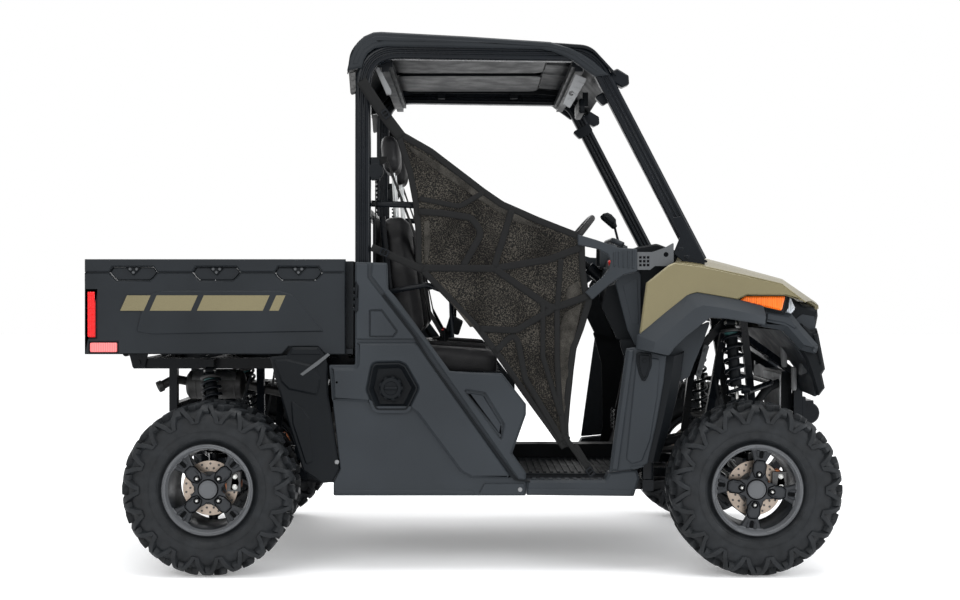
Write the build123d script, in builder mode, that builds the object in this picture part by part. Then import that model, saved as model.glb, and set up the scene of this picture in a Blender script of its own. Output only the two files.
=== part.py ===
from build123d import *
from math import cos, hypot, pi, sin
import os

os.makedirs("parts", exist_ok=True)

# A side by side utility vehicle with a tipping cargo bed.
# Frame: +X forward, +Y to the vehicle's left, +Z up; the origin is on the ground under the
# middle of the whole vehicle.  Sizes are millimetres.
# Side parts are drawn on the right (-Y) side and mirrored to the left.

# ---------------------------------------------------------------- driving dimensions
GAP = 0.3               # clearance between pieces that sit against each other
WHEELBASE = 1960
FRONT_AXLE_X = 1032
REAR_AXLE_X = FRONT_AXLE_X - WHEELBASE       # everything behind the doors follows it

TYRE_R = 312            # nominal 25 inch tyre under load
AXLE_Z = TYRE_R
CARCASS_R = 290         # tyre without its lugs
LUG_TIP_R = TYRE_R - 0.6
SIDEWALL_R = 222        # widest ring of the tyre
BEAD_TOP_R = 171
BEAD_R = 152            # 12 inch rim
BEAD_INSET = 24         # bead face behind the widest point of the tyre
TYRE_SIDES = 24         # flats round the carcass, one for each lug
FRONT_TYRE_W = 205
REAR_TYRE_W = 255
RIM_FLANGE_R = 166
BARREL_R = 147.5        # inside of the rim
HUB_INSET = 46          # hub face behind the tyre's outer face
STUB_R = 18
CAP_R = 13.7            # hub cap in the middle of the rim
HALF_TRACK_OUT = 755    # outer faces of the tyres
FRONT_TYRE_Y = HALF_TRACK_OUT - FRONT_TYRE_W / 2
REAR_TYRE_Y = HALF_TRACK_OUT - REAR_TYRE_W / 2
KINGPIN_Y = HALF_TRACK_OUT - 135
TIE_ROD_Y = KINGPIN_Y - 30
SHOCK_SEAT_Y = KINGPIN_Y - 158

BED_LENGTH = 951
BED_REAR_X = REAR_AXLE_X - 471
BED_FRONT_X = BED_REAR_X + BED_LENGTH
BED_HALF_W = 620
BED_FLOOR_Z = 791
BED_TOP_Z = 1138
BED_WALL = 32
BED_HINGE = (REAR_AXLE_X - 334, 748)
BED_PIN_R = 9
TAIL_T = 27             # tailgate thickness
TAIL_BOTTOM_Z = 801
PIN_INSET = 9           # tailgate pins behind its outer and lower faces
TAIL_HINGE = (BED_REAR_X + PIN_INSET, TAIL_BOTTOM_Z + PIN_INSET)
BED_FLOOR_X = TAIL_HINGE[0] + hypot(TAIL_T - PIN_INSET, PIN_INSET) + GAP   # clear of its swing

PANEL_Y = BED_HALF_W + 20   # outer face of the body side
PANEL_T = 12            # moulded side panels
PANEL_IN = PANEL_Y - PANEL_T
CAGE_Y = PANEL_Y - 60   # pillar centre lines
CAGE_R = 28             # half width of the pillars' profile
CAGE_EDGE = 12          # chamfer along the pillars
LEG_R = 20              # half width of the front legs
CAGE_IN = CAGE_Y - CAGE_R
TUB_Y = CAGE_Y - 35     # side walls of the floor tub
B_PILLAR_X = REAR_AXLE_X + 543
ROOF_RAIL_Z = 1886
ROOF_HALF_W = CAGE_Y + 44
HOOD_HALF_W = 400
HOOD_HINGE = (812, 1140)
SHEET = 4               # thickness of thin moulded sheets

WHEEL_CENTRE = (427, 350, 1215)      # steering wheel
WHEEL_TILT = 49                      # its ring's angle from level
WHEEL_RING_R = 168
COLUMN_R = 26
SHAFT_R = 13
RACK_X = FRONT_AXLE_X - 72           # steering rack
RACK_Z = 346
RACK_R = 7


# ---------------------------------------------------------------- small helpers
def box(x0, x1, y0, y1, z0, z1, mode=Mode.ADD):
    """Block between two opposite corners."""
    with Locations(((x0 + x1) / 2, (y0 + y1) / 2, (z0 + z1) / 2)):
        Box(x1 - x0, y1 - y0, z1 - z0, mode=mode)


def side(outline, y, thickness, mode=Mode.ADD):
    """Outline in X and Z, extruded from y mm right of the middle outwards."""
    with BuildSketch(Plane.XZ.offset(y)) as profile:
        with BuildLine():
            Polyline(*outline, close=True)
        make_face()
    extrude(profile.sketch, amount=thickness, mode=mode)


def disc(centre, radius, height, sides=0):
    """Upright boss that stands on centre, round or with flat sides."""
    x, y, z = centre
    rod((x, y, z), (x, y, z + height), radius, sides=sides)


def rod(start, end, radius, mode=Mode.ADD, sides=0):
    """Straight round bar, or one with flat sides."""
    a, b = Vector(*start), Vector(*end)
    with BuildSketch(Plane(origin=a, z_dir=b - a)) as profile:
        if sides:
            RegularPolygon(radius, sides)
        else:
            Circle(radius)
    extrude(profile.sketch, amount=(b - a).length, mode=mode)


def bar(start, end, width, mode=Mode.ADD):
    """Straight square tube, drawn solid."""
    a, b = Vector(*start), Vector(*end)
    with BuildSketch(Plane(origin=a, x_dir=(b - a).cross(Vector(0, 0, 1)), z_dir=b - a)) as profile:
        Rectangle(width, width)
    extrude(profile.sketch, amount=(b - a).length, mode=mode)


def bent_bar(points, width, bend=0, corner=0):
    """Square tube along straight runs, bent or mitred; corner is the chamfer along its edges."""
    with BuildLine() as route:
        if bend:
            FilletPolyline(*points, radius=bend)
        else:
            Polyline(*points)
    start = Plane(origin=route.line @ 0, x_dir=(0, 1, 0), z_dir=route.line % 0)
    with BuildSketch(start) as profile:
        Rectangle(width, width)
        if corner:
            chamfer(profile.vertices(), corner)
    sweep(profile.sketch, path=route.line, transition=Transition.RIGHT)


def pipe(start, end, radius, bore, mode=Mode.ADD):
    """Straight round tube."""
    a, b = Vector(*start), Vector(*end)
    with BuildSketch(Plane(origin=a, z_dir=b - a)) as profile:
        Circle(radius)
        Circle(bore, mode=Mode.SUBTRACT)
    extrude(profile.sketch, amount=(b - a).length, mode=mode)


def coil(start, end, radius, wire, turns):
    """Coil spring of square wire that runs from start to end in flats."""
    a, b = Vector(*start), Vector(*end)
    axis = Plane(origin=a, z_dir=b - a)
    steps = turns * COIL_FLATS
    points = []
    for k in range(steps + 1):
        angle = 2 * pi * k / COIL_FLATS
        points.append(axis.from_local_coords((radius * cos(angle), radius * sin(angle),
                                              (b - a).length * k / steps)))
    with BuildLine() as route:
        Polyline(*points)
    first = Plane(origin=route.line @ 0, x_dir=b - a, z_dir=route.line % 0)
    with BuildSketch(first) as profile:
        Rectangle(wire, wire)
    sweep(profile.sketch, path=route.line, transition=Transition.RIGHT)


def save(builder, name):
    """Label a finished piece and write its file."""
    builder.part.label = name
    export_step(builder.part, f"parts/{name}.step")


def aft(points):
    """X-Z points given from the rear axle, moved to where it stands."""
    return [(x + REAR_AXLE_X, z) for x, z in points]


def offset_down(line, depth):
    """Closed strip below a line of X-Z points."""
    return list(line) + [(x, z - depth) for x, z in reversed(line)]


# ================================================================ wheels
def stack(rings, mode=Mode.ADD):
    """Ruled loft through flat-sided rings about Z, given as (z, radius)."""
    profiles = []
    for z, radius in rings:
        with BuildSketch(Plane.XY.offset(z)) as ring:
            RegularPolygon(radius, TYRE_SIDES)
        profiles.append(ring.sketch)
    loft(profiles, ruled=True, mode=mode)


def make_tyre(width):
    """Tyre about Z: a flat-sided carcass with slanted lugs that wrap over the shoulders."""
    half = width / 2
    shoulder = half - 36
    lug_foot = CARCASS_R - 34
    with BuildPart() as lug_pair:
        for sign in (1, -1):
            radial = Vector(1, 0, 0).rotate(Axis.Z, sign * 180 / TYRE_SIDES)
            lug_plane = Plane(origin=radial * lug_foot, z_dir=radial, x_dir=(0, 0, sign))
            with BuildSketch(lug_plane):
                with BuildLine():
                    Polyline((5, -sign * 32), (half - 6, -sign * 2), (half - 6, sign * 30),
                             (5, 0), close=True)
                make_face()
            extrude(amount=LUG_TIP_R - lug_foot)
    with BuildPart() as tyre:
        stack([(-half, SIDEWALL_R), (-shoulder, CARCASS_R), (shoulder, CARCASS_R),
               (half, SIDEWALL_R)])
        for sign in (1, -1):
            stack([(sign * half, SIDEWALL_R), (sign * (half - BEAD_INSET), BEAD_TOP_R)],
                  mode=Mode.SUBTRACT)
        stack([(-half, BEAD_R), (half, BEAD_R)], mode=Mode.SUBTRACT)
        with PolarLocations(0, TYRE_SIDES // 2):
            add(lug_pair.part)
    return tyre.part


def make_rim(width, spoke_angle):
    """Rim about Z with its face towards +Z: barrel, four broad spokes and hub centre."""
    edge = width / 2 - 10
    face = width / 2 - HUB_INSET
    with BuildPart() as rim:
        seat = edge - 14
        stack([(-edge, RIM_FLANGE_R), (-seat, BEAD_R - GAP / 2), (seat, BEAD_R - GAP / 2),
               (edge, RIM_FLANGE_R)])
        stack([(-edge, BARREL_R), (edge, BARREL_R)], mode=Mode.SUBTRACT)
        with BuildSketch(Plane.XY.offset(face)):
            RegularPolygon(46, 12)
            with PolarLocations(0, 4, start_angle=spoke_angle):
                Polygon((30, -26), (62, -24), (98, -18), (152, -34), (152, 34), (98, 18), (62, 24),
                        (30, 26), align=None)
            RegularPolygon(BARREL_R + 2, TYRE_SIDES, mode=Mode.INTERSECT)
            RegularPolygon(CAP_R + GAP, 12, mode=Mode.SUBTRACT)
        extrude(amount=18)
    return rim.part


def make_hub(width):
    """Hub about Z: flange behind the rim, brake disc, cap and stub shaft towards -Z."""
    face = width / 2 - HUB_INSET
    with BuildPart() as hub:
        with BuildSketch(Plane.XY.offset(face)):
            RegularPolygon(CAP_R, 12)
        extrude(amount=24)
        with BuildSketch(Plane.XY.offset(face)):
            RegularPolygon(44, 12)
        extrude(amount=-26)
        with BuildSketch(Plane.XY.offset(face - 26)):
            RegularPolygon(98, TYRE_SIDES)
        extrude(amount=-4)
        with BuildSketch(Plane.XY.offset(face - 30)):
            Circle(STUB_R)
        extrude(amount=-27)
    return hub.part


front_tyre, rear_tyre = make_tyre(FRONT_TYRE_W), make_tyre(REAR_TYRE_W)
front_rim, rear_rim = make_rim(FRONT_TYRE_W, 0), make_rim(REAR_TYRE_W, 45)
front_hub, rear_hub = make_hub(FRONT_TYRE_W), make_hub(REAR_TYRE_W)


def wheel_plane(axle_x, y):
    """Plane at a wheel's centre whose normal points away from the vehicle."""
    outward = 1 if y > 0 else -1
    return Plane(origin=(axle_x, y, AXLE_Z), x_dir=(1, 0, 0), z_dir=(0, outward, 0))


for corner, axle_x, y, tyre_body, rim_body, hub_body in (
    ("front_right", FRONT_AXLE_X, -FRONT_TYRE_Y, front_tyre, front_rim, front_hub),
    ("front_left", FRONT_AXLE_X, FRONT_TYRE_Y, front_tyre, front_rim, front_hub),
    ("rear_right", REAR_AXLE_X, -REAR_TYRE_Y, rear_tyre, rear_rim, rear_hub),
    ("rear_left", REAR_AXLE_X, REAR_TYRE_Y, rear_tyre, rear_rim, rear_hub),
):
    for kind, body in (("tyre", tyre_body), ("rim", rim_body), ("hub", hub_body)):
        with BuildPart(wheel_plane(axle_x, y)) as piece:
            add(body)
        save(piece, f"{kind}_{corner}")


# ================================================================ chassis
RAIL_Y = 300                 # middle of each main rail
OUTRIGGER = 22               # outriggers' ends past the pillars' centre lines
RAIL_Z = (290, 340)
LEG_X = 660                  # foot of the cage's front leg
ARM_TUBE_Y = 236             # subframe tubes that carry the lower arms
POST_Y = 242                 # posts that carry the upper arms
TUBE, BRACE, THIN = 34, 28, 24       # widths of the square tubes
PIVOT_R = 17                 # inner bushings of the arms
LOWER_PIVOT_Z, UPPER_PIVOT_Z = 315, 400
HOOP_X, HOOP_Y, HOOP_TOP_Z = 1305, 190, 690      # front hoop
TOWER_X, TOWER_Y, TOWER_Z = 1000, 330, 930       # head of the front shock tower
REAR_HOOP_X = REAR_AXLE_X - 232
HITCH_Z = 430
BED_RAIL_Z = (725, 765)
BED_RAIL_Y = (315, 355)
REAR_MOUNT_X = REAR_AXLE_X - 57      # rear shock mounts
RACK_HOUSING_R = 15
RACK_BAR_X = RACK_X - RACK_HOUSING_R - THIN / 2 - GAP
SHAFT_Z = 377                # propeller shafts

# axle, feet of the lower legs, feet of the upper legs, heads of the posts that carry them
ARMS = ((FRONT_AXLE_X, (-162, 153), (-107, 98), (-32, 28), TOWER_Y, TOWER_Z),
        (REAR_AXLE_X, (-147, 163), (-102, 118), (-72, 128), 335, 738))

with BuildPart() as frame:
    lo, hi = RAIL_Z
    tail = REAR_AXLE_X + 228
    box(tail, 720, -RAIL_Y - 25, -RAIL_Y + 25, lo, hi)
    for x in (tail + 40, tail + 500, 250, LEG_X):
        box(x - 25, x + 25, -RAIL_Y, 0, lo, hi)
    for x in (B_PILLAR_X, LEG_X):               # outriggers under the pillars
        box(x - 20, x + 20, -CAGE_Y - OUTRIGGER, -RAIL_Y, lo, hi - 10)
    box(B_PILLAR_X, LEG_X, -CAGE_Y + 20, -CAGE_Y + 50, lo, hi - 10)
    # front subframe: lower tubes that rise into the front hoop, and braces to the towers
    bent_bar([(700, -ARM_TUBE_Y, 315), (1190, -ARM_TUBE_Y, 315), (HOOP_X, -HOOP_Y, 450)], TUBE,
             80)
    box(HOOP_X - TUBE / 2, HOOP_X + TUBE / 2, -HOOP_Y - TUBE / 2, -HOOP_Y + TUBE / 2, 440, 704)
    for z in (480, HOOP_TOP_Z):
        bar((HOOP_X, -HOOP_Y, z), (HOOP_X, 0, z), BRACE)
    bar((RACK_BAR_X, -POST_Y, RACK_Z), (RACK_BAR_X, 0, RACK_Z), THIN)
    bar((TOWER_X, -410, TOWER_Z), (TOWER_X, 0, TOWER_Z), BRACE)
    bar((TOWER_X, -TOWER_Y, TOWER_Z), (TOWER_X + 60, -TOWER_Y, TOWER_Z), BRACE)
    bar((1052, -315, 860), (HOOP_X, -HOOP_Y, HOOP_TOP_Z), THIN)
    bar((700, -300, 330), (760, -330, 640), BRACE)
    bar((760, -330, 640), (TOWER_X, -TOWER_Y, TOWER_Z - 10), BRACE)
    # rear subframe
    bent_bar([(tail + 10, -ARM_TUBE_Y, 315), (REAR_AXLE_X - 147, -ARM_TUBE_Y, 315),
              (REAR_HOOP_X, -200, HITCH_Z)], TUBE, 60)
    box(REAR_HOOP_X - BRACE / 2, REAR_HOOP_X + BRACE / 2, -200 - BRACE / 2, -200 + BRACE / 2,
        HITCH_Z - 14, 740)
    bar((REAR_HOOP_X, -200, HITCH_Z), (REAR_HOOP_X, 0, HITCH_Z), BRACE)
    bar((tail + 20, -300, 320), (REAR_AXLE_X + 368, -335, 740), BRACE)
    for axle_x, _, feet, heads, head_y, head_z in ARMS:
        for foot, head in zip(feet, heads):
            bent_bar([(axle_x + foot, -POST_Y, 315), (axle_x + foot, -POST_Y, 430),
                      (axle_x + head, -head_y, head_z)], BRACE)
    rear_x = REAR_AXLE_X - 206
    box(rear_x - 15, rear_x + 15, -350, -320, 560, 735)
    box(rear_x - 15, rear_x + 15, -335, 0, 560, 590)
    # rails that carry the bed, their cross bars, pads and hinge pins
    inside, outside = BED_RAIL_Y
    rail_end = REAR_AXLE_X + 488
    box(REAR_AXLE_X - 357, rail_end, -outside, -inside, *BED_RAIL_Z)
    for x in (REAR_AXLE_X - 322, REAR_MOUNT_X, rail_end - 40):
        box(x - 20, x + 20, -335, 0, 727, 763)
    box(rail_end - 60, rail_end - 20, -outside, -inside, BED_RAIL_Z[1], BED_FLOOR_Z - GAP)
    rod((BED_HINGE[0], -outside - 23, BED_HINGE[1]), (BED_HINGE[0], -outside + 15, BED_HINGE[1]),
        BED_PIN_R)
    box(REAR_MOUNT_X - 20, REAR_MOUNT_X + 20, -420, -outside, 735, 763)
    mirror(about=Plane.XZ)
save(frame, "frame")

with BuildPart() as skid_plate:
    with BuildSketch(Plane.XY.offset(RAIL_Z[0] - 6)):
        with BuildLine():
            Polyline((tail, -330), (720, -330), (850, -225), (1180, -225), (1180, 225),
                     (850, 225), (720, 330), (tail, 330), close=True)
        make_face()
    extrude(amount=6)
save(skid_plate, "skid_plate")


def make_arms(axle_x, lower_feet, upper_feet):
    """Lower and upper A-arm of the right side, with the shock absorber's seat."""
    upper_pivot_y = POST_Y + BRACE / 2 + PIVOT_R + GAP
    for feet, ball_z, boss_z, height, pivot_z, pivot_y in (
        (lower_feet, 200, 190, 28, LOWER_PIVOT_Z, ARM_TUBE_Y + TUBE / 2 + PIVOT_R + GAP),
        (upper_feet, 418, 404.3, 26, UPPER_PIVOT_Z, upper_pivot_y),
    ):
        disc((axle_x, -KINGPIN_Y, boss_z), 17, height, sides=8)
        for foot in feet:
            pivot = Vector(axle_x + foot, -pivot_y, pivot_z)
            bar((axle_x, -KINGPIN_Y, ball_z), pivot, 16)
            rod(pivot - Vector(25, 0, 0), pivot + Vector(25, 0, 0), PIVOT_R, sides=8)
    # the seat spans the upper arm's legs where the shock absorber stands
    along = (KINGPIN_Y - SHOCK_SEAT_Y) / (KINGPIN_Y - upper_pivot_y)
    rear, front = (axle_x + foot * along for foot in upper_feet)
    box(rear - 6, front + 6, -SHOCK_SEAT_Y - 16, -SHOCK_SEAT_Y + 16, 400, 424)


for name, (axle_x, lower_feet, upper_feet, *_) in zip(("front_arms", "rear_arms"), ARMS):
    with BuildPart() as arms:
        make_arms(axle_x, lower_feet, upper_feet)
        mirror(about=Plane.XZ)
    save(arms, name)


def make_upright(x, steering_arm):
    """Bearing housing, plate, ball joint ears and brake caliper on the right side."""
    y = KINGPIN_Y
    plate, disc_side = y + 30, y + 54
    rod((x, -disc_side, AXLE_Z), (x, -plate, AXLE_Z), 36, sides=16)
    box(x - 24, x + 24, -disc_side, -plate, 220, 402)
    for z, height in ((218.3, 20), (382, 22)):
        disc((x, -y, z), 19, height, sides=12)
        box(x - 19, x + 19, -disc_side, -y, z, z + height)
    # caliper that straddles the disc, ahead of the axle
    box(x + 62, x + 112, -y - 82, -y - 44, AXLE_Z - 10, AXLE_Z + 60)
    box(x + 50, x + 103, -y - 68, -disc_side, AXLE_Z - 20, AXLE_Z + 70, mode=Mode.SUBTRACT)
    box(x + 20, x + 112, -disc_side, -y - 38, AXLE_Z - 10, AXLE_Z + 30)
    rod((x, -y - 70, AXLE_Z), (x, -y - 20, AXLE_Z), STUB_R + GAP, mode=Mode.SUBTRACT)
    if steering_arm:
        box(RACK_X - 14, x - 20, -y - 52, -y - 38, RACK_Z - 26, RACK_Z - 14)
        box(RACK_X - 14, RACK_X + 14, -y - 52, -TIE_ROD_Y + 12, RACK_Z - 26, RACK_Z - 14)


with BuildPart() as knuckle_right:
    make_upright(FRONT_AXLE_X, True)
save(knuckle_right, "knuckle_right")

with BuildPart() as knuckle_left:
    add(mirror(knuckle_right.part, about=Plane.XZ, mode=Mode.PRIVATE))
save(knuckle_left, "knuckle_left")

with BuildPart() as rear_uprights:
    make_upright(REAR_AXLE_X, False)
    mirror(about=Plane.XZ)
save(rear_uprights, "rear_uprights")

with BuildPart() as steering_rack:
    rod((RACK_X, -TIE_ROD_Y + 5, RACK_Z), (RACK_X, TIE_ROD_Y - 5, RACK_Z), RACK_R, sides=8)
    for y in (-TIE_ROD_Y, TIE_ROD_Y):
        disc((RACK_X, y, RACK_Z - 8), 13, 16, sides=12)
save(steering_rack, "steering_rack")

with BuildPart() as steering_gear:
    rod((RACK_X, -150, RACK_Z), (RACK_X, 150, RACK_Z), RACK_HOUSING_R, sides=12)
    rod((RACK_X, 118, RACK_Z + 6), (RACK_X, 136, RACK_Z + 74), 13, sides=12)
    rod((RACK_X, -200, RACK_Z), (RACK_X, 200, RACK_Z), RACK_R + GAP, mode=Mode.SUBTRACT)
save(steering_gear, "steering_gear")

ENGINE_REAR_X = REAR_AXLE_X + 388
ENGINE_FRONT_X = REAR_AXLE_X + 728
with BuildPart() as driveline:
    for x in (FRONT_AXLE_X, REAR_AXLE_X):
        box(x - 42, x + 75, -95, 95, RAIL_Z[0] + GAP, 400)
    rod((FRONT_AXLE_X - 42, 0, SHAFT_Z), (ENGINE_FRONT_X + GAP, 0, SHAFT_Z), 15, sides=12)
    rod((REAR_AXLE_X + 75, 0, SHAFT_Z), (ENGINE_REAR_X - GAP, 0, SHAFT_Z), 15, sides=12)
save(driveline, "driveline")

with BuildPart() as drive_axles:
    for x in (FRONT_AXLE_X, REAR_AXLE_X):
        bar((x, -150, AXLE_Z + 48), (x, -KINGPIN_Y, AXLE_Z), 20)
        rod((x, -95 - GAP, AXLE_Z + 48), (x, -160, AXLE_Z + 48), 30, sides=12)
        disc((x, -KINGPIN_Y, AXLE_Z - 20), 24, 40, sides=12)
    mirror(about=Plane.XZ)
save(drive_axles, "drive_axles")

# shock absorbers: top eye, bottom eye
EYE_R = 15
SHOCKS = (((TOWER_X, -400, TOWER_Z - BRACE / 2 - EYE_R - 2 * GAP),
           (FRONT_AXLE_X - 2, -SHOCK_SEAT_Y, 424 + EYE_R + GAP)),
          ((REAR_MOUNT_X, -388, 735 - EYE_R - GAP),
           (REAR_AXLE_X - 17, -SHOCK_SEAT_Y, 424 + EYE_R + GAP)))
COIL_R = 39                  # outside of the springs and their seats
COIL_WIRE = 9
COIL_FLATS = 8               # flats in each turn
COIL_TURNS = (7, 5)          # front, rear
TOP_SEAT, BOTTOM_SEAT = 34, 52       # spring seats' distances from the eyes

with BuildPart() as shock_absorbers:
    for top, bottom in SHOCKS:
        a, b = Vector(*top), Vector(*bottom)
        along = (b - a).normalized()
        rod(a + along * 8, b - along * 8, 9, sides=6)
        rod(a + along * 10, a + (b - a) * 0.52, 21, sides=8)
        rod(a + along * (TOP_SEAT - 14), a + along * TOP_SEAT, COIL_R, sides=12)
        rod(b - along * BOTTOM_SEAT, b - along * (BOTTOM_SEAT - 12), COIL_R, sides=12)
        for eye in (a, b):
            rod(eye - Vector(16, 0, 0), eye + Vector(16, 0, 0), EYE_R, sides=8)
    mirror(about=Plane.XZ)
save(shock_absorbers, "shock_absorbers")

with BuildPart() as springs:
    for (top, bottom), turns in zip(SHOCKS, COIL_TURNS):
        a, b = Vector(*top), Vector(*bottom)
        along = (b - a).normalized()
        end = COIL_WIRE * 0.56 + GAP
        coil(a + along * (TOP_SEAT + end), b - along * (BOTTOM_SEAT + end),
             COIL_R - COIL_WIRE, COIL_WIRE, turns)
    mirror(about=Plane.XZ)
save(springs, "springs")

# ================================================================ cage and roof
A_FOOT = (850, 1130)
ROOF_BEND = (441, 1878)
ROOF_TOP = aft([(486, 1825), (603, 1973)]) + [(336, 1935), (449, 1926), (563, 1817)]
ROOF_UNDER = [(546, 1809), (440, 1912), (310, 1914)] + aft([(607, 1920), (576, 1905),
                                                            (523, 1850)])
RIB_Y = (0, 240, 480)        # ribs under the roof

with BuildPart() as cage:
    bent_bar([(B_PILLAR_X, -CAGE_Y, 330), (B_PILLAR_X, -CAGE_Y, ROOF_RAIL_Z),
              (ROOF_BEND[0], -CAGE_Y, ROOF_BEND[1]), (A_FOOT[0], -CAGE_Y, A_FOOT[1])],
             2 * CAGE_R, 110, CAGE_EDGE)
    bent_bar([(A_FOOT[0] - 3, -CAGE_Y, A_FOOT[1] + 4), (700, -CAGE_Y, 760),
              (LEG_X, -CAGE_Y, 420), (LEG_X, -CAGE_Y, 330)], 2 * LEG_R, 120)
    box(A_FOOT[0] - 50, A_FOOT[0] + 60, -CAGE_Y - 32, -CAGE_Y + 30, A_FOOT[1] - 12, A_FOOT[1])
    for z in (900, 1320):
        bar((B_PILLAR_X, -CAGE_Y, z), (B_PILLAR_X, 0, z), 36)
    bar((738, -CAGE_Y, 860), (738, 0, 860), 34)
    mirror(about=Plane.XZ)
save(cage, "cage")

with BuildPart() as roof_headers:
    for x, under in ((B_PILLAR_X + 80, 1919.8), (ROOF_BEND[0] - 30, 1912.5)):
        box(x - 26, x + 26, -CAGE_IN, 0, 1850, 1872)
        box(x - 14, x + 14, -CAGE_IN, 0, 1834, 1850)
        for y in RIB_Y[1:]:                     # pads under the roof's ribs
            box(x - 12, x + 12, -y - 16, -y + 12, 1872, under - GAP)
    mirror(about=Plane.XZ)
save(roof_headers, "roof_headers")

with BuildPart() as roof:
    side(offset_down(ROOF_TOP, 6), 0, ROOF_HALF_W)
    raised = [(x, z + 12) for x, z in ROOF_TOP[1:3]]
    side(raised + [(470, 1914), (440, 1922), (336, 1931)] + aft([(610, 1969)]), 0, 430)
    for y in RIB_Y:
        side(ROOF_TOP + ROOF_UNDER, y, 4)
    side(ROOF_TOP + ROOF_UNDER, ROOF_HALF_W - 7, 7)
    mirror(about=Plane.XZ)
save(roof, "roof")

# ================================================================ body sides
QUARTER = aft([(422, 753), (518, 753), (518, 1128), (635, 1124), (639, 1028), (665, 1011),
               (786, 840), (865, 727), (1052, 723), (1140, 623), (1140, 573), (1090, 431),
               (1140, 360), (1140, 277), (439, 277), (439, 323), (464, 373)])
FILLER = aft([(581, 740), (594, 754), (681, 754), (739, 673), (706, 594), (606, 594),
              (569, 673)])
FILLER_CAP = (REAR_AXLE_X + 648, 668)
UPPER_RECESS = aft([(564, 953), (627, 953), (673, 874), (656, 844), (564, 844)])
ACCENT_RECESS = aft([(915, 661), (990, 661), (1057, 536), (1048, 485)])
LOWER_RECESS = aft([(448, 300), (848, 300), (868, 335), (453, 335)])
LINER = aft([(203, 788), (267, 790), (287, 820), (381, 820), (404, 789), (422 - GAP, 753),
             (464 - GAP, 373), (439 - GAP, 323), (398, 320), (328, 366), (273, 549)])
SILL = aft([(1140 + GAP, 277)]) + [(604, 273), (625, 339), (617, 372.7), (512, 362.7),
                                   (500, 331)] + aft([(1140 + GAP, 331)])
SIDE_COWL = [(512, 363), (575, 815), (606, 819.7), (804.7, 805.7), (784, 660), (704, 392),
             (617, 373)]
FENDER = [(606, 820), (622, 857), (818, 1012), (982, 986), (1073, 962), (1062, 894), (915, 929),
          (846, 904), (826, 894), (805, 806)]
FENDER_LIP = [(805, 806), (790, 850), (838, 932), (915, 960), (1066, 925), (1062, 894),
              (915, 929), (846, 904), (826, 894)]
BODY_COWL = [(622, 857.4), (647, 1057), (748, 1126), (849, 1116), (1132, 1053), (1196, 1006),
             (1166, 1003.4), (1014, 1003.4), (982, 986.4), (818, 1012.4)]

with BuildPart() as quarter_panels:
    side(QUARTER, PANEL_IN, PANEL_T)
    for recess, depth in ((UPPER_RECESS, 5), (ACCENT_RECESS, 5), (LOWER_RECESS, 2)):
        side(recess, PANEL_Y - depth, depth, mode=Mode.SUBTRACT)
    for z in (700, 1080):                       # brackets on the pillar
        box(B_PILLAR_X - 20, B_PILLAR_X + 25, -PANEL_IN, -CAGE_Y - CAGE_R - GAP, z, z + 20)
    mirror(about=Plane.XZ)
    side(FILLER, PANEL_Y - 8, 8, mode=Mode.SUBTRACT)
save(quarter_panels, "quarter_panels")

with BuildPart() as fuel_cap:
    x, z = FILLER_CAP
    rod((x, -PANEL_Y + 8, z), (x, -PANEL_Y - 6, z), 40, sides=24)
    box(x - 34, x + 34, -PANEL_Y - 12, -PANEL_Y - 6, z - 6, z + 6)
save(fuel_cap, "fuel_cap")

with BuildPart() as rear_liners:
    side(LINER, PANEL_IN, 10)
    mirror(about=Plane.XZ)
save(rear_liners, "rear_liners")

SILL_IN = CAGE_Y - 18
with BuildPart() as sills:
    side(SILL, SILL_IN, PANEL_Y - SILL_IN)
    box(REAR_AXLE_X + 1141, 500, -SILL_IN, -SILL_IN + 14, RAIL_Z[1] - 10 + GAP, 337)
    box(REAR_AXLE_X + 1141, 500, -SILL_IN - 4, -SILL_IN, 325, 337)
    mirror(about=Plane.XZ)
save(sills, "sills")

with BuildPart() as side_cowls:
    side(SIDE_COWL, PANEL_IN, PANEL_T)
    mirror(about=Plane.XZ)
save(side_cowls, "side_cowls")

with BuildPart() as front_fenders:
    side(FENDER, PANEL_IN, PANEL_T)
    side(FENDER_LIP, PANEL_IN, 70)
    mirror(about=Plane.XZ)
save(front_fenders, "front_fenders")

with BuildPart() as body_cowls:
    side(BODY_COWL, PANEL_IN, PANEL_T + 4)
    box(788, 814, -PANEL_IN, -CAGE_Y - LEG_R - GAP, 1012, 1032)
    for y, line in ((PANEL_IN + 4, [(752, 1123), (849, 1115), (1132, 1052), (1190, 1009)]),
                    (HOOD_HALF_W + 3, [(818, 1153), (895, 1146), (1200, 1059), (1330, 968)])):
        with BuildSketch(Plane.XZ.offset(y)):
            with BuildLine():
                Polyline(*offset_down(line, 5), close=True)
            make_face()
    loft(ruled=True)
    box(740, 925, -PANEL_IN + 2, -CAGE_Y + 45, 1040, 1200, mode=Mode.SUBTRACT)
    mirror(about=Plane.XZ)
save(body_cowls, "body_cowls")

with BuildPart() as indicator_lamps:
    side([(989, 985.5), (1014, 1003), (1156, 1003), (1144, 949), (1073, 963)], PANEL_IN - 20, 34)
    mirror(about=Plane.XZ)
save(indicator_lamps, "indicator_lamps")

with BuildPart() as headlamps:
    side([(1167, 1001), (1195, 997), (1209, 955), (1190, 944.3), (1167, 946.3)], PANEL_IN - 188,
         150)
    mirror(about=Plane.XZ)
save(headlamps, "headlamps")

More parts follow.
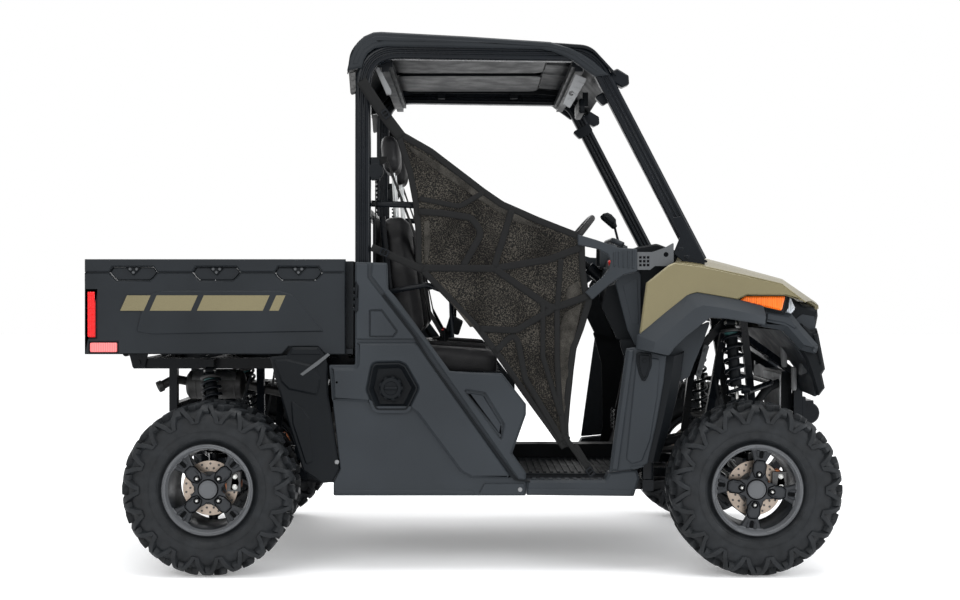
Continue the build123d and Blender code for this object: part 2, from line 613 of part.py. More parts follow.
FASCIA_OUTER = [(1073, 961), (1144, 948), (1166, 946), (1190, 944), (1279, 872), (1318, 946),
                (1320, 858), (1349, 727), (1328, 711), (1344, 658), (1320, 629), (1312, 629),
                (1283, 723), (1222, 805), (1160, 875), (1063, 895)]
FASCIA_CENTRE = [(1160, 876), (1240, 936), (1316, 930), (1320, 858), (1349, 727), (1328, 711),
                 (1344, 658), (1320, 629), (1312, 629), (1283, 723), (1222, 805)]
with BuildPart() as front_fascia:
    side(FASCIA_OUTER, HOOD_HALF_W + 4, PANEL_IN - 78 - HOOD_HALF_W)
    side(FASCIA_CENTRE, 0, HOOD_HALF_W + 4)
    box(1150, 1400, -230, 0, 600, HOOP_TOP_Z + BRACE / 2 + GAP, mode=Mode.SUBTRACT)
    box(1150, 1312, -HOOP_Y - 45, -HOOP_Y + 25, 700, 760, mode=Mode.SUBTRACT)
    for z in (770, 805, 840):
        box(1150, 1400, -300, 0, z - 10, z + 10, mode=Mode.SUBTRACT)
    mirror(about=Plane.XZ)
save(front_fascia, "front_fascia")

HOOD_TOP = [(818, 1158), (895, 1150), (1200, 1063), (1345, 966)]
HINGE_PIN_R = 7
with BuildPart() as hood:
    for y, rise in ((0, 8), (HOOD_HALF_W, 0)):
        line = [(x, z + rise) for x, z in HOOD_TOP]
        with BuildSketch(Plane.XZ.offset(y)):
            with BuildLine():
                Polyline(*offset_down(line, SHEET), close=True)
            make_face()
    loft(ruled=True)
    side(offset_down(HOOD_TOP, 22), HOOD_HALF_W - 6, 6)
    hx, hz = HOOD_HINGE
    rod((hx, -308, hz), (hx, -232, hz), HINGE_PIN_R)
    box(hx, hx + 30, -295, -245, hz - 5, hz + 17)
    mirror(about=Plane.XZ)
save(hood, "hood")

# ================================================================ cargo bed
TAIL_LAMP = aft([(-466, 1025), (-428, 1025), (-428, 849), (-466, 849)])
REFLECTOR = aft([(-455, 837), (-349, 837), (-349, 795), (-455, 795)])
SIDE_EMBOSS = aft([(-270, 1023), (278, 1016), (403, 873), (-268, 859)])
SIDE_NOTCH = aft([(267, 780), (287, 822), (381, 822), (403, 780)])
POCKETS = [(REAR_AXLE_X + a, REAR_AXLE_X + b) for a, b in ((-375, -214), (-71, 89), (229, 389))]
RIB_SPACING = 96
with BuildPart() as cargo_bed:
    rear, front, half = BED_REAR_X, BED_FRONT_X, BED_HALF_W
    box(BED_FLOOR_X, front + 26, -half + BED_WALL, 0, BED_FLOOR_Z, BED_FLOOR_Z + 18)
    box(rear, front, -half, -half + BED_WALL, BED_FLOOR_Z, BED_TOP_Z)
    box(front - 10, front + 26, -half + 5, 0, BED_FLOOR_Z, BED_TOP_Z - 6)
    for k in range(6):                                  # floor ribs
        y = -60 - RIB_SPACING * k
        box(BED_FLOOR_X, front, y - 14, y + 14, BED_FLOOR_Z + 18, BED_FLOOR_Z + 26)
    for x0, x1 in POCKETS:                              # stake pockets
        side([(x0, 1110), (x1, 1110), (x1 - 14, 1070), (x1 - 34, 1058), (x0 + 34, 1058),
              (x0 + 14, 1070)], half - 10, 10, mode=Mode.SUBTRACT)
        side([(x0 + 34, 1139), (x1 - 34, 1139), (x1 - 34, 1080), (x0 + 34, 1080)], half - 28, 14,
             mode=Mode.SUBTRACT)
    for outline, depth in ((SIDE_EMBOSS, 4), (SIDE_NOTCH, 8), (TAIL_LAMP, 20), (REFLECTOR, 20)):
        side(outline, half - depth, depth, mode=Mode.SUBTRACT)
    hx, hz = BED_HINGE                                  # hinge ears
    ear = BED_RAIL_Y[1] + 2 * GAP
    box(hx - 22, hx + 22, -ear - 12, -ear, hz - 22, BED_FLOOR_Z)
    rod((hx, -ear - 20, hz), (hx, -ear + 10, hz), BED_PIN_R + GAP, mode=Mode.SUBTRACT)
    tx, tz = TAIL_HINGE                                 # tailgate hinge pins
    rod((tx, -half + BED_WALL - 5, tz), (tx, -half + BED_WALL + 22, tz), HINGE_PIN_R)
    mirror(about=Plane.XZ)
save(cargo_bed, "cargo_bed")


def inset(outline):
    """Rectangle shrunk by the clearance on every side."""
    (x0, z1), (x1, _), (_, z0), _ = outline
    return [(x0 + GAP, z1 - GAP), (x1 - GAP, z1 - GAP), (x1 - GAP, z0 + GAP), (x0 + GAP, z0 + GAP)]


with BuildPart() as tail_lamps:
    for outline in (TAIL_LAMP, REFLECTOR):
        side(inset(outline), BED_HALF_W - 20, 22)
    mirror(about=Plane.XZ)
save(tail_lamps, "tail_lamps")

with BuildPart() as tailgate:
    half = BED_HALF_W - BED_WALL - 5
    hx, hz = TAIL_HINGE
    box(BED_REAR_X, BED_REAR_X + TAIL_T, -half, 0, TAIL_BOTTOM_Z, BED_TOP_Z - 8)
    box(BED_REAR_X, BED_REAR_X + 8, -half + 90, 0, 870, 1060, mode=Mode.SUBTRACT)
    box(BED_REAR_X - 9, BED_REAR_X + 8, -70, 0, 1064, 1096)
    rod((hx, -half - 1, hz), (hx, -half + 19, hz), HINGE_PIN_R + GAP, mode=Mode.SUBTRACT)
    mirror(about=Plane.XZ)
save(tailgate, "tailgate")

# ================================================================ cab interior
WALL_X = B_PILLAR_X + CAGE_R + 10.5      # rear face of the wall behind the seats
with BuildPart() as floor_tub:
    low = RAIL_Z[1] + GAP
    side([(630, low), (700, 560), (704, 840), (698, 840), (694, 562), (626, low + 6)]
         + aft([(1064, low + 6), (1044, 694), (583, 694), (583, 688), (1038, 688), (1058, low)]),
         0, TUB_Y)
    box(REAR_AXLE_X + 1058, 700, -44, 0, low, 402)       # tunnel over the propeller shaft
    mirror(about=Plane.XZ)
    box(REAR_AXLE_X + 1028, 720, -38, 38, low - 6, 396, mode=Mode.SUBTRACT)
save(floor_tub, "floor_tub")

with BuildPart() as rear_wall:
    box(WALL_X - 5.5, WALL_X, -TUB_Y, TUB_Y, 694 + GAP, 1300)
save(rear_wall, "rear_wall")

DASH = [(590, 960), (572, 1090), (610, 1180), (700, 1200), (790, 1164), (790, 1130), (730, 1100),
        (700, 960)]
DASH_INSIDE = [(602, 950), (584, 1088), (618, 1171), (699, 1188), (778, 1156), (778, 1140),
               (720, 1110), (688, 950)]
down = Vector(0, 0, -1).rotate(Axis.Y, -WHEEL_TILT)
centre = Vector(*WHEEL_CENTRE)
GEAR_X = 622                 # gear lever
with BuildPart() as dashboard:
    side(DASH, 0, CAGE_IN - 4)
    side(DASH_INSIDE, 0, CAGE_IN - 10, mode=Mode.SUBTRACT)
    box(765, 810, -CAGE_IN + 3, -405, 1100, 1210, mode=Mode.SUBTRACT)
    hx, hz = HOOD_HINGE
    for y in (-308, -239):                      # ears of the hood hinges
        box(786, hx + 10, y, y + 7, hz - 13, hz + 12)
    rod((hx, -310, hz), (hx, -230, hz), HINGE_PIN_R + GAP, mode=Mode.SUBTRACT)
    mirror(about=Plane.XZ)
    rod((GEAR_X, 0, 1160), (GEAR_X, 0, 1200), 7 + GAP, mode=Mode.SUBTRACT)
    bar(centre + down * 60, centre + down * 330, 2 * (COLUMN_R + GAP), mode=Mode.SUBTRACT)
    box(690, 760, -20, 20, 877 + GAP, 960)      # seat on the cage's cross bar
save(dashboard, "dashboard")

with BuildPart() as steering_column:
    pipe(centre + down * 130, centre + down * 330, COLUMN_R, SHAFT_R + GAP)
save(steering_column, "steering_column")

with BuildPart() as flat_wheel:
    stack([(-14, WHEEL_RING_R + 6), (0, WHEEL_RING_R + 14), (14, WHEEL_RING_R + 6)])
    stack([(-14, WHEEL_RING_R - 8), (14, WHEEL_RING_R - 8)], mode=Mode.SUBTRACT)
    stack([(-14, 44), (14, 38)])
    with PolarLocations(0, 3, start_angle=90):
        with Locations((100, 0, 0)):
            Box(126, 26, 9)
    with Locations((0, 0, -160)):
        Cylinder(SHAFT_R, 320)
with BuildPart(Plane(centre, x_dir=(0, 1, 0), z_dir=-down)) as steering_wheel:
    add(flat_wheel.part)
save(steering_wheel, "steering_wheel")

SEAT_BASE = aft([(638, 694.3), (638, 800), (815, 836), (988, 815), (1056, 760), (1056, 720),
                 (1028, 694.3)])
SEAT_BACK = aft([(797, 833), (732, 1131), (623, 1335), (582, 1335), (582, 801), (639, 801)])
SEAT_OUT = TUB_Y - 30
with BuildPart() as seat_bases:
    side(SEAT_BASE, 45, SEAT_OUT - 45)
    mirror(about=Plane.XZ)
save(seat_bases, "seat_bases")

with BuildPart() as seat_backs:
    side(SEAT_BACK, 60, SEAT_OUT - 75)
    mirror(about=Plane.XZ)
save(seat_backs, "seat_backs")

with BuildPart() as headrests:
    x = REAR_AXLE_X + 593
    box(x, x + 60, -400, -160, 1471, 1660)
    for y in (-340, -220):
        box(x + 10, x + 24, y - 7, y + 7, 1335, 1480)
    mirror(about=Plane.XZ)
save(headrests, "headrests")

with BuildPart() as seat_belts:
    x = B_PILLAR_X + CAGE_R + GAP
    for x1, half, z0, z1 in ((x + 34.7, 24, 1430, 1510), (x + 24.7, 24, 730, 760)):
        box(x, x1, -CAGE_Y - half, -CAGE_Y + half, z0, z1)
    box(x + 11.7, x + 14.7, -CAGE_Y - 18, -CAGE_Y + 18, 760, 1430)
    mirror(about=Plane.XZ)
save(seat_belts, "seat_belts")

NET = (aft([(677, 1598), (786, 1523)]) + [(108, 1339), (383, 1222), (412, 1214), (446, 1015),
       (391, 815), (354, 573), (358, 456), (212, 631)]
       + aft([(769, 1097), (743, 1122), (752, 1289), (735, 1423)]))
STRAPS = (aft([(548, 1745), (563, 1755), (688, 1600), (673, 1585)]),
          aft([(543, 1180), (543, 1152), (778, 1095), (778, 1123)]),
          [(354, 480), (376, 480), (446, 352), (424, 340)],
          [(400, 1222), (412, 1195), (560, 1150), (790, 1118), (790, 1146), (565, 1180)])
with BuildPart() as side_nets:
    for outline in (NET, *STRAPS):
        side(outline, CAGE_Y + CAGE_R + GAP, 3)
    mirror(about=Plane.XZ)
save(side_nets, "side_nets")

with BuildPart() as controls:
    rod((GEAR_X, 0, 1166), (GEAR_X, 0, 1240), 7)
    bar((GEAR_X, 0, 1232), (590, 0, 1290), 12)
    box(574, 606, -16, 16, 1270, 1312)
    for y in (300, 400):                        # pedals
        box(625, 637, y - 30, y + 30, 420, 520)
        box(637, 662.8, y - 8, y + 8, 464, 478)
save(controls, "controls")

# ================================================================ machinery
with BuildPart() as engine_block:
    rear, front = ENGINE_REAR_X, ENGINE_FRONT_X
    box(rear, front, -170, 170, RAIL_Z[1] + GAP, 560)
    box(rear + 100, front - 40, -110, 110, 560, 660)
    box(rear + 20, front + 40, -235, -170, 380, 600)
save(engine_block, "engine_block")

with BuildPart() as exhaust:
    x = REAR_AXLE_X
    rod((x - 177, -214, 655), (x + 48, -214, 655), 55, sides=12)
    bent_bar([(x - 172, -225, 668), (x - 222, -262, 680), (x - 277, -290, 652)], 38)
    bent_bar([(x + 43, -214, 655), (x + 208, -215, 620), (x + 308, -120, 520),
              (ENGINE_REAR_X - GAP, -120, 520)], 36)
save(exhaust, "exhaust")

with BuildPart() as radiator:
    box(HOOP_X - 55, HOOP_X - BRACE / 2 - 2 * GAP, -160, 160, 455, HOOP_TOP_Z + BRACE / 2)
save(radiator, "radiator")

with BuildPart() as winch:
    x = HOOP_X + TUBE / 2 + GAP
    box(x, x + 10, -HOOP_Y - 16, HOOP_Y + 16, 505, 606)
    box(x + 10, x + 58, -150, 150, 486, 587)
    box(x + 58, 1408, -95, 95, 497, 566)
    box(x + 66, 1409, -70, 70, 515, 548, mode=Mode.SUBTRACT)
save(winch, "winch")

with BuildPart() as hitch:
    seat = REAR_HOOP_X - BRACE / 2 - GAP
    tip = REAR_AXLE_X - 372
    box(tip, seat, -32, 32, HITCH_Z - 32, HITCH_Z + 32)
    box(tip - 1, seat - 8, -26, 26, HITCH_Z - 26, HITCH_Z + 26, mode=Mode.SUBTRACT)
    rod((tip + 35, -40, HITCH_Z), (tip + 35, 40, HITCH_Z), 8, mode=Mode.SUBTRACT)
save(hitch, "hitch")

with BuildPart() as bed_lever:
    side(aft([(319, 720), (328, 714), (383, 752), (428, 790), (419, 796)]), PANEL_IN + 10 + GAP, 6)
save(bed_lever, "bed_lever")
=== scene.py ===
"""Looks of a side by side utility vehicle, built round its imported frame. Sizes here are millimetres."""
from math import atan2, cos, degrees, hypot, pi, radians, sin, tan

import bmesh
import bpy
from mathutils import Matrix, Vector
from mathutils.geometry import tessellate_polygon


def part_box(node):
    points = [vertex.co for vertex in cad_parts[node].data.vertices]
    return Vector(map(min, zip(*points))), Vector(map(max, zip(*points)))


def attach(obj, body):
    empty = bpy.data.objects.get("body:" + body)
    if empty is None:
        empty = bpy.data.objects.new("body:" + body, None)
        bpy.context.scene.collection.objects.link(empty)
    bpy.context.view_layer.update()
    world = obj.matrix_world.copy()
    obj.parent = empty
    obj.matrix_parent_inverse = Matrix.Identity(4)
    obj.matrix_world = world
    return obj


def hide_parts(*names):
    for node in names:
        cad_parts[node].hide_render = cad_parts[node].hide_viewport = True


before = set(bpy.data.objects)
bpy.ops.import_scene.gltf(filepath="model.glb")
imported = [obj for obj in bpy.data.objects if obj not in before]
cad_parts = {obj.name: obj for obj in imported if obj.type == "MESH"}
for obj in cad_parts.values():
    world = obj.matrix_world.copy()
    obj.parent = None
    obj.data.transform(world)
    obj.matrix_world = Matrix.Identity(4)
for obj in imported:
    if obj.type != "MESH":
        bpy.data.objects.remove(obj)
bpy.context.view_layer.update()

MM = 0.001
RIGHT, LEFT = -1, 1
OUTWARD, ACROSS, AHEAD = (0, -1, 0), (0, 1, 0), (1, 0, 0)   # outward on the right side
CORNERS = {"front_right": RIGHT, "front_left": LEFT, "rear_right": RIGHT, "rear_left": LEFT}


def node_box(name):
    """Lowest and highest corners of a CAD node in millimetres."""
    low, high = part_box(name)
    return [1000 * v for v in low], [1000 * v for v in high]


def middle(name):
    low, high = node_box(name)
    return [(a + b) / 2 for a, b in zip(low, high)]


# ------------------------------------------------------------------ mesh helpers
class Shape:
    """Points in millimetres and faces, gathered into one mesh."""

    def __init__(self):
        self.points, self.faces = [], []

    def add(self, points, faces):
        base = len(self.points)
        self.points += [tuple(p) for p in points]
        self.faces += [tuple(base + i for i in face) for face in faces]
        return self

    def join(self, other, place=None):
        points = [place @ Vector(p) for p in other.points] if place else other.points
        return self.add(points, other.faces)

    def mirrored(self):
        """This shape together with its copy on the other side of the vehicle."""
        both = Shape().join(self)
        flipped = [(x, -y, z) for x, y, z in self.points]
        return both.add(flipped, [tuple(reversed(face)) for face in self.faces])


def add_object(name, data):
    obj = bpy.data.objects.new(name, data)
    bpy.context.collection.objects.link(obj)
    return obj


def soften(obj, bevel, angle):
    """Bevel along the edges that are sharper than an angle."""
    edge = obj.modifiers.new("edges", "BEVEL")
    edge.width, edge.segments, edge.limit_method = bevel * MM, 2, "ANGLE"
    edge.angle_limit = radians(angle)


def piece(name, shape, material, slot=None, body="chassis", hides=(), bevel=0, angle=32):
    """Turns a shape into a finished object that rides on a body; slot None means the material's own, and
    the slot is worked out but not used.
    """
    slot = slot or SLOTS[material]
    mesh = bpy.data.meshes.new(name)
    mesh.from_pydata([(x * MM, y * MM, z * MM) for x, y, z in shape.points], [], shape.faces)
    mesh.validate()
    bm = bmesh.new()
    bm.from_mesh(mesh)
    bmesh.ops.remove_doubles(bm, verts=bm.verts, dist=1e-6)
    bmesh.ops.recalc_face_normals(bm, faces=bm.faces)
    bm.to_mesh(mesh)
    bm.free()
    obj = add_object(name, mesh)
    obj.data.materials.append(material)
    if bevel:
        soften(obj, bevel, angle)
    mesh.shade_smooth()
    mesh.set_sharp_from_angle(angle=radians(angle))
    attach(obj, body)
    if hides:
        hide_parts(*hides)
    return obj


def frame_of(start, end):
    """Matrix that puts +Z along start to end, with its origin at start."""
    start, end = Vector(start), Vector(end)
    turn = (end - start).to_track_quat("Z", "Y").to_matrix().to_4x4()
    return Matrix.Translation(start) @ turn


def ring(radius, count, z=0):
    return [(radius * cos(2 * pi * k / count), radius * sin(2 * pi * k / count), z) for k in range(count)]


def skin(rings, caps=True):
    """Faces between closed rings of equal length."""
    shape, count = Shape(), len(rings[0])
    points = [p for row in rings for p in row]
    faces = []
    for r in range(len(rings) - 1):
        for k in range(count):
            a, b = r * count + k, r * count + (k + 1) % count
            faces.append((a, b, b + count, a + count))
    if caps:
        faces.append(tuple(reversed(range(count))))
        faces.append(tuple(range((len(rings) - 1) * count, len(rings) * count)))
    return shape.add(points, faces)


def turned(profile, count=48, caps=True):
    """Solid of revolution about Z from (radius, z) pairs."""
    return skin([ring(max(r, 0.01), count, z) for r, z in profile], caps=caps)


def between(start, end, shape):
    """Shape along +Z moved so that it starts at start and points at end."""
    return Shape().join(shape, frame_of(start, end))


def rod(start, end, radius, count=20, chamfer=1):
    length = (Vector(end) - Vector(start)).length
    return between(start, end, turned([(radius - chamfer, 0), (radius, chamfer),
                                       (radius, length - chamfer), (radius - chamfer, length)], count))


def block(low, high):
    x0, y0, z0 = low
    x1, y1, z1 = high
    points = [(x, y, z) for z in (z0, z1) for x, y in ((x0, y0), (x1, y0), (x1, y1), (x0, y1))]
    faces = [(3, 2, 1, 0), (4, 5, 6, 7), (0, 1, 5, 4), (1, 2, 6, 5), (2, 3, 7, 6), (3, 0, 4, 7)]
    return Shape().add(points, faces)


def rect(x0, z0, x1, z1):
    return [(x0, z0), (x1, z0), (x1, z1), (x0, z1)]


def circle(x, z, radius, count):
    return [(x + radius * cos(2 * pi * k / count), z + radius * sin(2 * pi * k / count))
            for k in range(count)]


def area_sign(outline):
    total = sum(a[0] * b[1] - b[0] * a[1] for a, b in zip(outline, outline[1:] + outline[:1]))
    return 1 if total > 0 else -1


def rounded(outline, radius, steps=4):
    """Outline with its corners rounded; radius is one number, or one for each corner."""
    count, result = len(outline), []
    for k, point in enumerate(outline):
        r = radius[k] if isinstance(radius, (list, tuple)) else radius
        here, before, after = Vector(point), Vector(outline[k - 1]), Vector(outline[(k + 1) % count])
        u, v = (before - here).normalized(), (after - here).normalized()
        half = u.angle(v) / 2
        if r <= 0 or half > radians(86):
            result.append(tuple(here))
            continue
        cut = min(r / tan(half), 0.45 * (before - here).length, 0.45 * (after - here).length)
        first, last = here + u * cut, here + v * cut
        for s in range(steps + 1):
            t = s / steps
            mid = first.lerp(here, t).lerp(here.lerp(last, t), t)
            result.append(tuple(mid))
    return result


def inset(outline, amount):
    """Outline moved inwards by amount."""
    sign, count, result = area_sign(outline), len(outline), []
    for k, point in enumerate(outline):
        here, before, after = Vector(point), Vector(outline[k - 1]), Vector(outline[(k + 1) % count])
        u, v = (here - before).normalized(), (after - here).normalized()
        normal = Vector((-u.y - v.y, u.x + v.x))
        if normal.length < 1e-6:
            normal = Vector((-u.y, u.x))
        normal.normalize()
        stretch = 1 / max(0.35, normal.dot(Vector((-u.y, u.x))))
        result.append(tuple(here + normal * sign * amount * stretch))
    return result


def fill(outline, height, holes=(), reverse=False):
    """Flat triangulated face of an outline with holes, at a height."""
    loops = [outline, *holes]
    triangles = tessellate_polygon([[Vector((*p, 0)) for p in loop] for loop in loops])
    faces = [tuple(reversed(t)) if reverse else tuple(t) for t in triangles]
    return [(*p, height) for loop in loops for p in loop], faces


def slab(outline, low, high, edge=0, foot=0, holes=()):
    """Flat plate with sloped edges; edge narrows its top and foot its bottom."""
    if area_sign(outline) < 0:
        outline = outline[::-1]
    holes = [hole[::-1] if area_sign(hole) > 0 else hole for hole in holes]
    up = 1 if high > low else -1
    shape = Shape()
    levels = [(low, foot)] + ([(low + up * foot, 0)] if foot else [])
    levels += ([(high - up * edge, 0)] if edge else []) + [(high, edge)]
    for loop, sign in [(outline, 1)] + [(hole, -1) for hole in holes]:
        narrow = [(z, inset(loop, sign * amount) if amount else loop) for z, amount in levels]
        shape.join(skin([[(*p, z) for p in ring_points] for z, ring_points in narrow], caps=False))
    for z, amount in (levels[0], levels[-1]):
        face = inset(outline, amount) if amount else outline
        gaps = [inset(hole, -amount) if amount else hole for hole in holes]
        shape.add(*fill(face, z, gaps, reverse=z == low))
    return shape


def facing(shape, x, sign):
    """Shape drawn in Y-Z with heights along X, stood at x; sign 1 faces forward."""
    return Shape().add([(x + sign * h, y, z) for y, z, h in shape.points], shape.faces)


def upright(shape, side=RIGHT):
    """Shape drawn in X-Z with heights outwards, stood on that side of the vehicle."""
    return Shape().add([(x, side * y, z) for x, z, y in shape.points], shape.faces)


def swept(path, section, up=(0, 0, 1)):
    """Section (across, up) carried along a path without twist."""
    points = [Vector(p) for p in path]
    rings, count = [], len(points)
    for k, here in enumerate(points):
        before = points[k - 1] if k else here
        after = points[k + 1] if k < count - 1 else here
        along = (after - before).normalized()
        across = along.cross(Vector(up))
        if across.length < 1e-4:
            across = along.cross(Vector((0, 1, 0)))
        across.normalize()
        top = across.cross(along).normalized()
        rings.append([here + across * a + top * b for a, b in section])
    return skin(rings)


def bent(points, radius, steps=8):
    """Path with its corners rounded to a radius."""
    points = [Vector(p) for p in points]
    path = [points[0]]
    for before, here, after in zip(points, points[1:], points[2:]):
        u, v = (before - here).normalized(), (after - here).normalized()
        half = u.angle(v) / 2
        cut = min(radius / tan(half), 0.49 * (before - here).length, 0.49 * (after - here).length)
        first, last = here + u * cut, here + v * cut
        for s in range(steps + 1):
            t = s / steps
            path.append(first.lerp(here, t).lerp(here.lerp(last, t), t))
    return path + [points[-1]]


def round_section(radius, count=16):
    return [(radius * cos(2 * pi * k / count), radius * sin(2 * pi * k / count)) for k in range(count)]


def hose(points, radius, bend=40, count=14):
    return swept(bent(points, bend), round_section(radius, count))


def bolt(at, towards, radius=7, head=5):
    """Flanged hexagon bolt that sits on a surface at a point and points outwards."""
    tip = Vector(at) + Vector(towards).normalized()
    washer = turned([(radius * 1.35, -1), (radius * 1.35, 1.2), (radius * 1.2, 1.8)], 20)
    hexagon = turned([(radius, 1.5), (radius, head), (radius * 0.82, head + 1)], 6)
    return between(at, tip, Shape().join(washer).join(hexagon))


# ------------------------------------------------------------------ materials
class Nodes:
    """Short way to wire a node material."""

    def __init__(self, name, color, roughness, metallic=0.0):
        self.material = bpy.data.materials.new(name)
        self.material.use_nodes = True
        self.tree = self.material.node_tree
        self.shader = self.tree.nodes["Principled BSDF"]
        self.shader.inputs["Base Color"].default_value = (*color, 1)
        self.shader.inputs["Roughness"].default_value = roughness
        self.shader.inputs["Metallic"].default_value = metallic
        self.place = self.tree.nodes.new("ShaderNodeTexCoord").outputs["Object"]

    def node(self, kind, inputs=None, **settings):
        node = self.tree.nodes.new("ShaderNode" + kind)
        for key, value in settings.items():
            setattr(node, key, value)
        for key, value in (inputs or {}).items():
            if isinstance(value, bpy.types.NodeSocket):
                self.tree.links.new(value, node.inputs[key])
            else:
                node.inputs[key].default_value = value
        return node

    def stretched(self, scale):
        return self.node("Mapping", {"Vector": self.place, "Scale": scale}).outputs["Vector"]

    def noise(self, scale, detail=4, vector=None):
        return self.node("TexNoise", {"Vector": vector or self.place, "Scale": scale,
                                      "Detail": detail}).outputs["Fac"]

    def ramp(self, value, low, high, start=0.35, stop=0.65):
        """Value turned into a colour or grey between two ends."""
        node = self.node("ValToRGB", {"Fac": value})
        ends = node.color_ramp.elements
        for end, place, color in ((ends[0], start, low), (ends[1], stop, high)):
            end.position = place
            end.color = (*color, 1) if isinstance(color, tuple) else (color, color, color, 1)
        return node.outputs["Color"]

    def multiply(self, first, second):
        mixed = self.node("Mix", data_type="RGBA", blend_type="MULTIPLY")
        mixed.inputs[0].default_value = 1
        self.tree.links.new(first, mixed.inputs[6])
        self.tree.links.new(second, mixed.inputs[7])
        return mixed.outputs[2]

    def surface(self, **values):
        """Sets inputs of the shader, named with underscores for spaces."""
        for key, value in values.items():
            self.shader.inputs[key.replace("_", " ")].default_value = value

    def color(self, value):
        self.tree.links.new(value, self.shader.inputs["Base Color"])

    def rough(self, value):
        self.tree.links.new(value, self.shader.inputs["Roughness"])

    def bump(self, height, strength, distance, onto=None):
        inputs = {"Height": height, "Strength": strength, "Distance": distance}
        if onto:
            inputs["Normal"] = onto
        normal = self.node("Bump", inputs).outputs["Normal"]
        self.tree.links.new(normal, self.shader.inputs["Normal"])
        return normal


def shade(color, factor):
    return tuple(min(1, c * factor) for c in color)


def grained(name, color, roughness=0.55, grain=900, depth=0.25, vary=0.12, coat=0.0, shine=0.2):
    """Moulded plastic or powder coat: fine grain over a faint cloudiness."""
    m = Nodes(name, color, roughness)
    m.color(m.ramp(m.noise(3.5, 6), shade(color, 1 - vary), shade(color, 1 + vary)))
    m.rough(m.ramp(m.noise(14, 5), roughness - 0.06, roughness + 0.08))
    m.bump(m.noise(grain, 2), depth, 0.0004)
    m.surface(Coat_Weight=coat, Coat_Roughness=0.25, Specular_IOR_Level=shine)
    return m.material


def painted(name, color):
    """Satin metallic paint with fine flake under a soft clear coat."""
    m = Nodes(name, color, 0.36, 0.35)
    flake = m.ramp(m.noise(2600, 1), shade(color, 0.82), shade(color, 1.22), 0.42, 0.6)
    cloud = m.ramp(m.noise(2.2, 3), 0.93, 1.0)
    m.color(m.multiply(flake, cloud))
    m.bump(m.noise(420, 2), 0.05, 0.0003)
    m.surface(Coat_Weight=0.25, Coat_Roughness=0.2)
    return m.material


def metal(name, color, roughness=0.3, streak=(40, 40, 900), depth=0.08):
    """Machined or cast metal with fine streaks and faint stains."""
    m = Nodes(name, color, roughness, 1.0)
    m.color(m.ramp(m.noise(22, 5), shade(color, 0.8), shade(color, 1.08)))
    m.rough(m.ramp(m.noise(60, 4, m.stretched(streak)), roughness - 0.08, roughness + 0.14))
    m.bump(m.noise(1, 2, m.stretched(streak)), depth, 0.0004)
    return m.material


def rubber(name, color):
    """Tyre rubber with dusty patches at random, and mould grain."""
    m = Nodes(name, color, 0.72)
    m.color(m.ramp(m.noise(16, 8), shade(color, 0.72), shade(color, 1.5), 0.3, 0.75))
    m.rough(m.ramp(m.noise(40, 4), 0.42, 0.7))
    grain = m.bump(m.noise(700, 3), 0.3, 0.0006)
    m.bump(m.noise(60, 3), 0.15, 0.002, grain)
    m.surface(Specular_IOR_Level=0.22)
    return m.material


def woven(name, color, light, scale, depth=0.6):
    """Coarse open fabric: dark yarn with random light specks; on the net these are painted light through
    the mesh.
    """
    m = Nodes(name, color, 0.9)
    waves = []
    for direction in ("X", "Z"):
        waves.append(m.node("TexWave", {"Vector": m.place, "Scale": scale, "Distortion": 1.2, "Detail": 2.0,
                                        "Detail Scale": 3.0}, bands_direction=direction).outputs["Fac"])
    weave = m.node("Math", {0: waves[0], 1: waves[1]}, operation="MULTIPLY").outputs["Value"]
    # light specks: painted light through the mesh on the net, the cloth's own specks on the seat insert
    flecks_and_light_through = m.ramp(m.noise(scale * 1.5, 1), color, light, 0.50, 0.62)
    cloud = m.ramp(m.noise(scale * 0.05, 3), 0.45, 1.0)
    m.color(m.multiply(flecks_and_light_through, cloud))
    m.bump(weave, depth, 0.0015)
    m.surface(Specular_IOR_Level=0.1)
    return m.material


def leathery(name, color):
    """Seat vinyl with pebbled grain."""
    m = Nodes(name, color, 0.5)
    cells = m.node("TexVoronoi", {"Vector": m.place, "Scale": 260}).outputs["Distance"]
    m.color(m.ramp(m.noise(6, 5), shade(color, 0.82), shade(color, 1.2)))
    m.rough(m.ramp(m.noise(30, 3), 0.42, 0.6))
    m.bump(cells, 0.35, 0.001)
    m.surface(Specular_IOR_Level=0.25)
    return m.material


def webbing(name, color):
    """Belt webbing with fine ribs across it, their crests painted lighter and grooves darker as painted
    light and shade.
    """
    m = Nodes(name, color, 0.7)
    ribs = m.node("TexWave", {"Vector": m.place, "Scale": 160.0, "Distortion": 0.3},
                  bands_direction="DIAGONAL").outputs["Fac"]
    # painted light and shade: rib crests lighter, the grooves between darker
    m.color(m.ramp(ribs, shade(color, 0.75), shade(color, 1.25)))
    m.bump(ribs, 0.5, 0.0008)
    m.surface(Specular_IOR_Level=0.15)
    return m.material


def lens(name, color, glow=0.0):
    """Moulded lamp lens with ribs behind a glossy face."""
    m = Nodes(name, color, 0.12)
    ribs = m.node("TexWave", {"Vector": m.place, "Scale": 48.0}, bands_direction="X").outputs["Fac"]
    # painted light and shade: rib crests lighter, the hollows between darker
    m.color(m.ramp(ribs, shade(color, 0.75), shade(color, 1.25), 0.2, 0.8))
    m.bump(ribs, 0.25, 0.001)
    m.surface(Specular_IOR_Level=0.2, Coat_Weight=0.4, Coat_Roughness=0.04, Emission_Color=(*color, 1),
              Emission_Strength=glow)
    return m.material


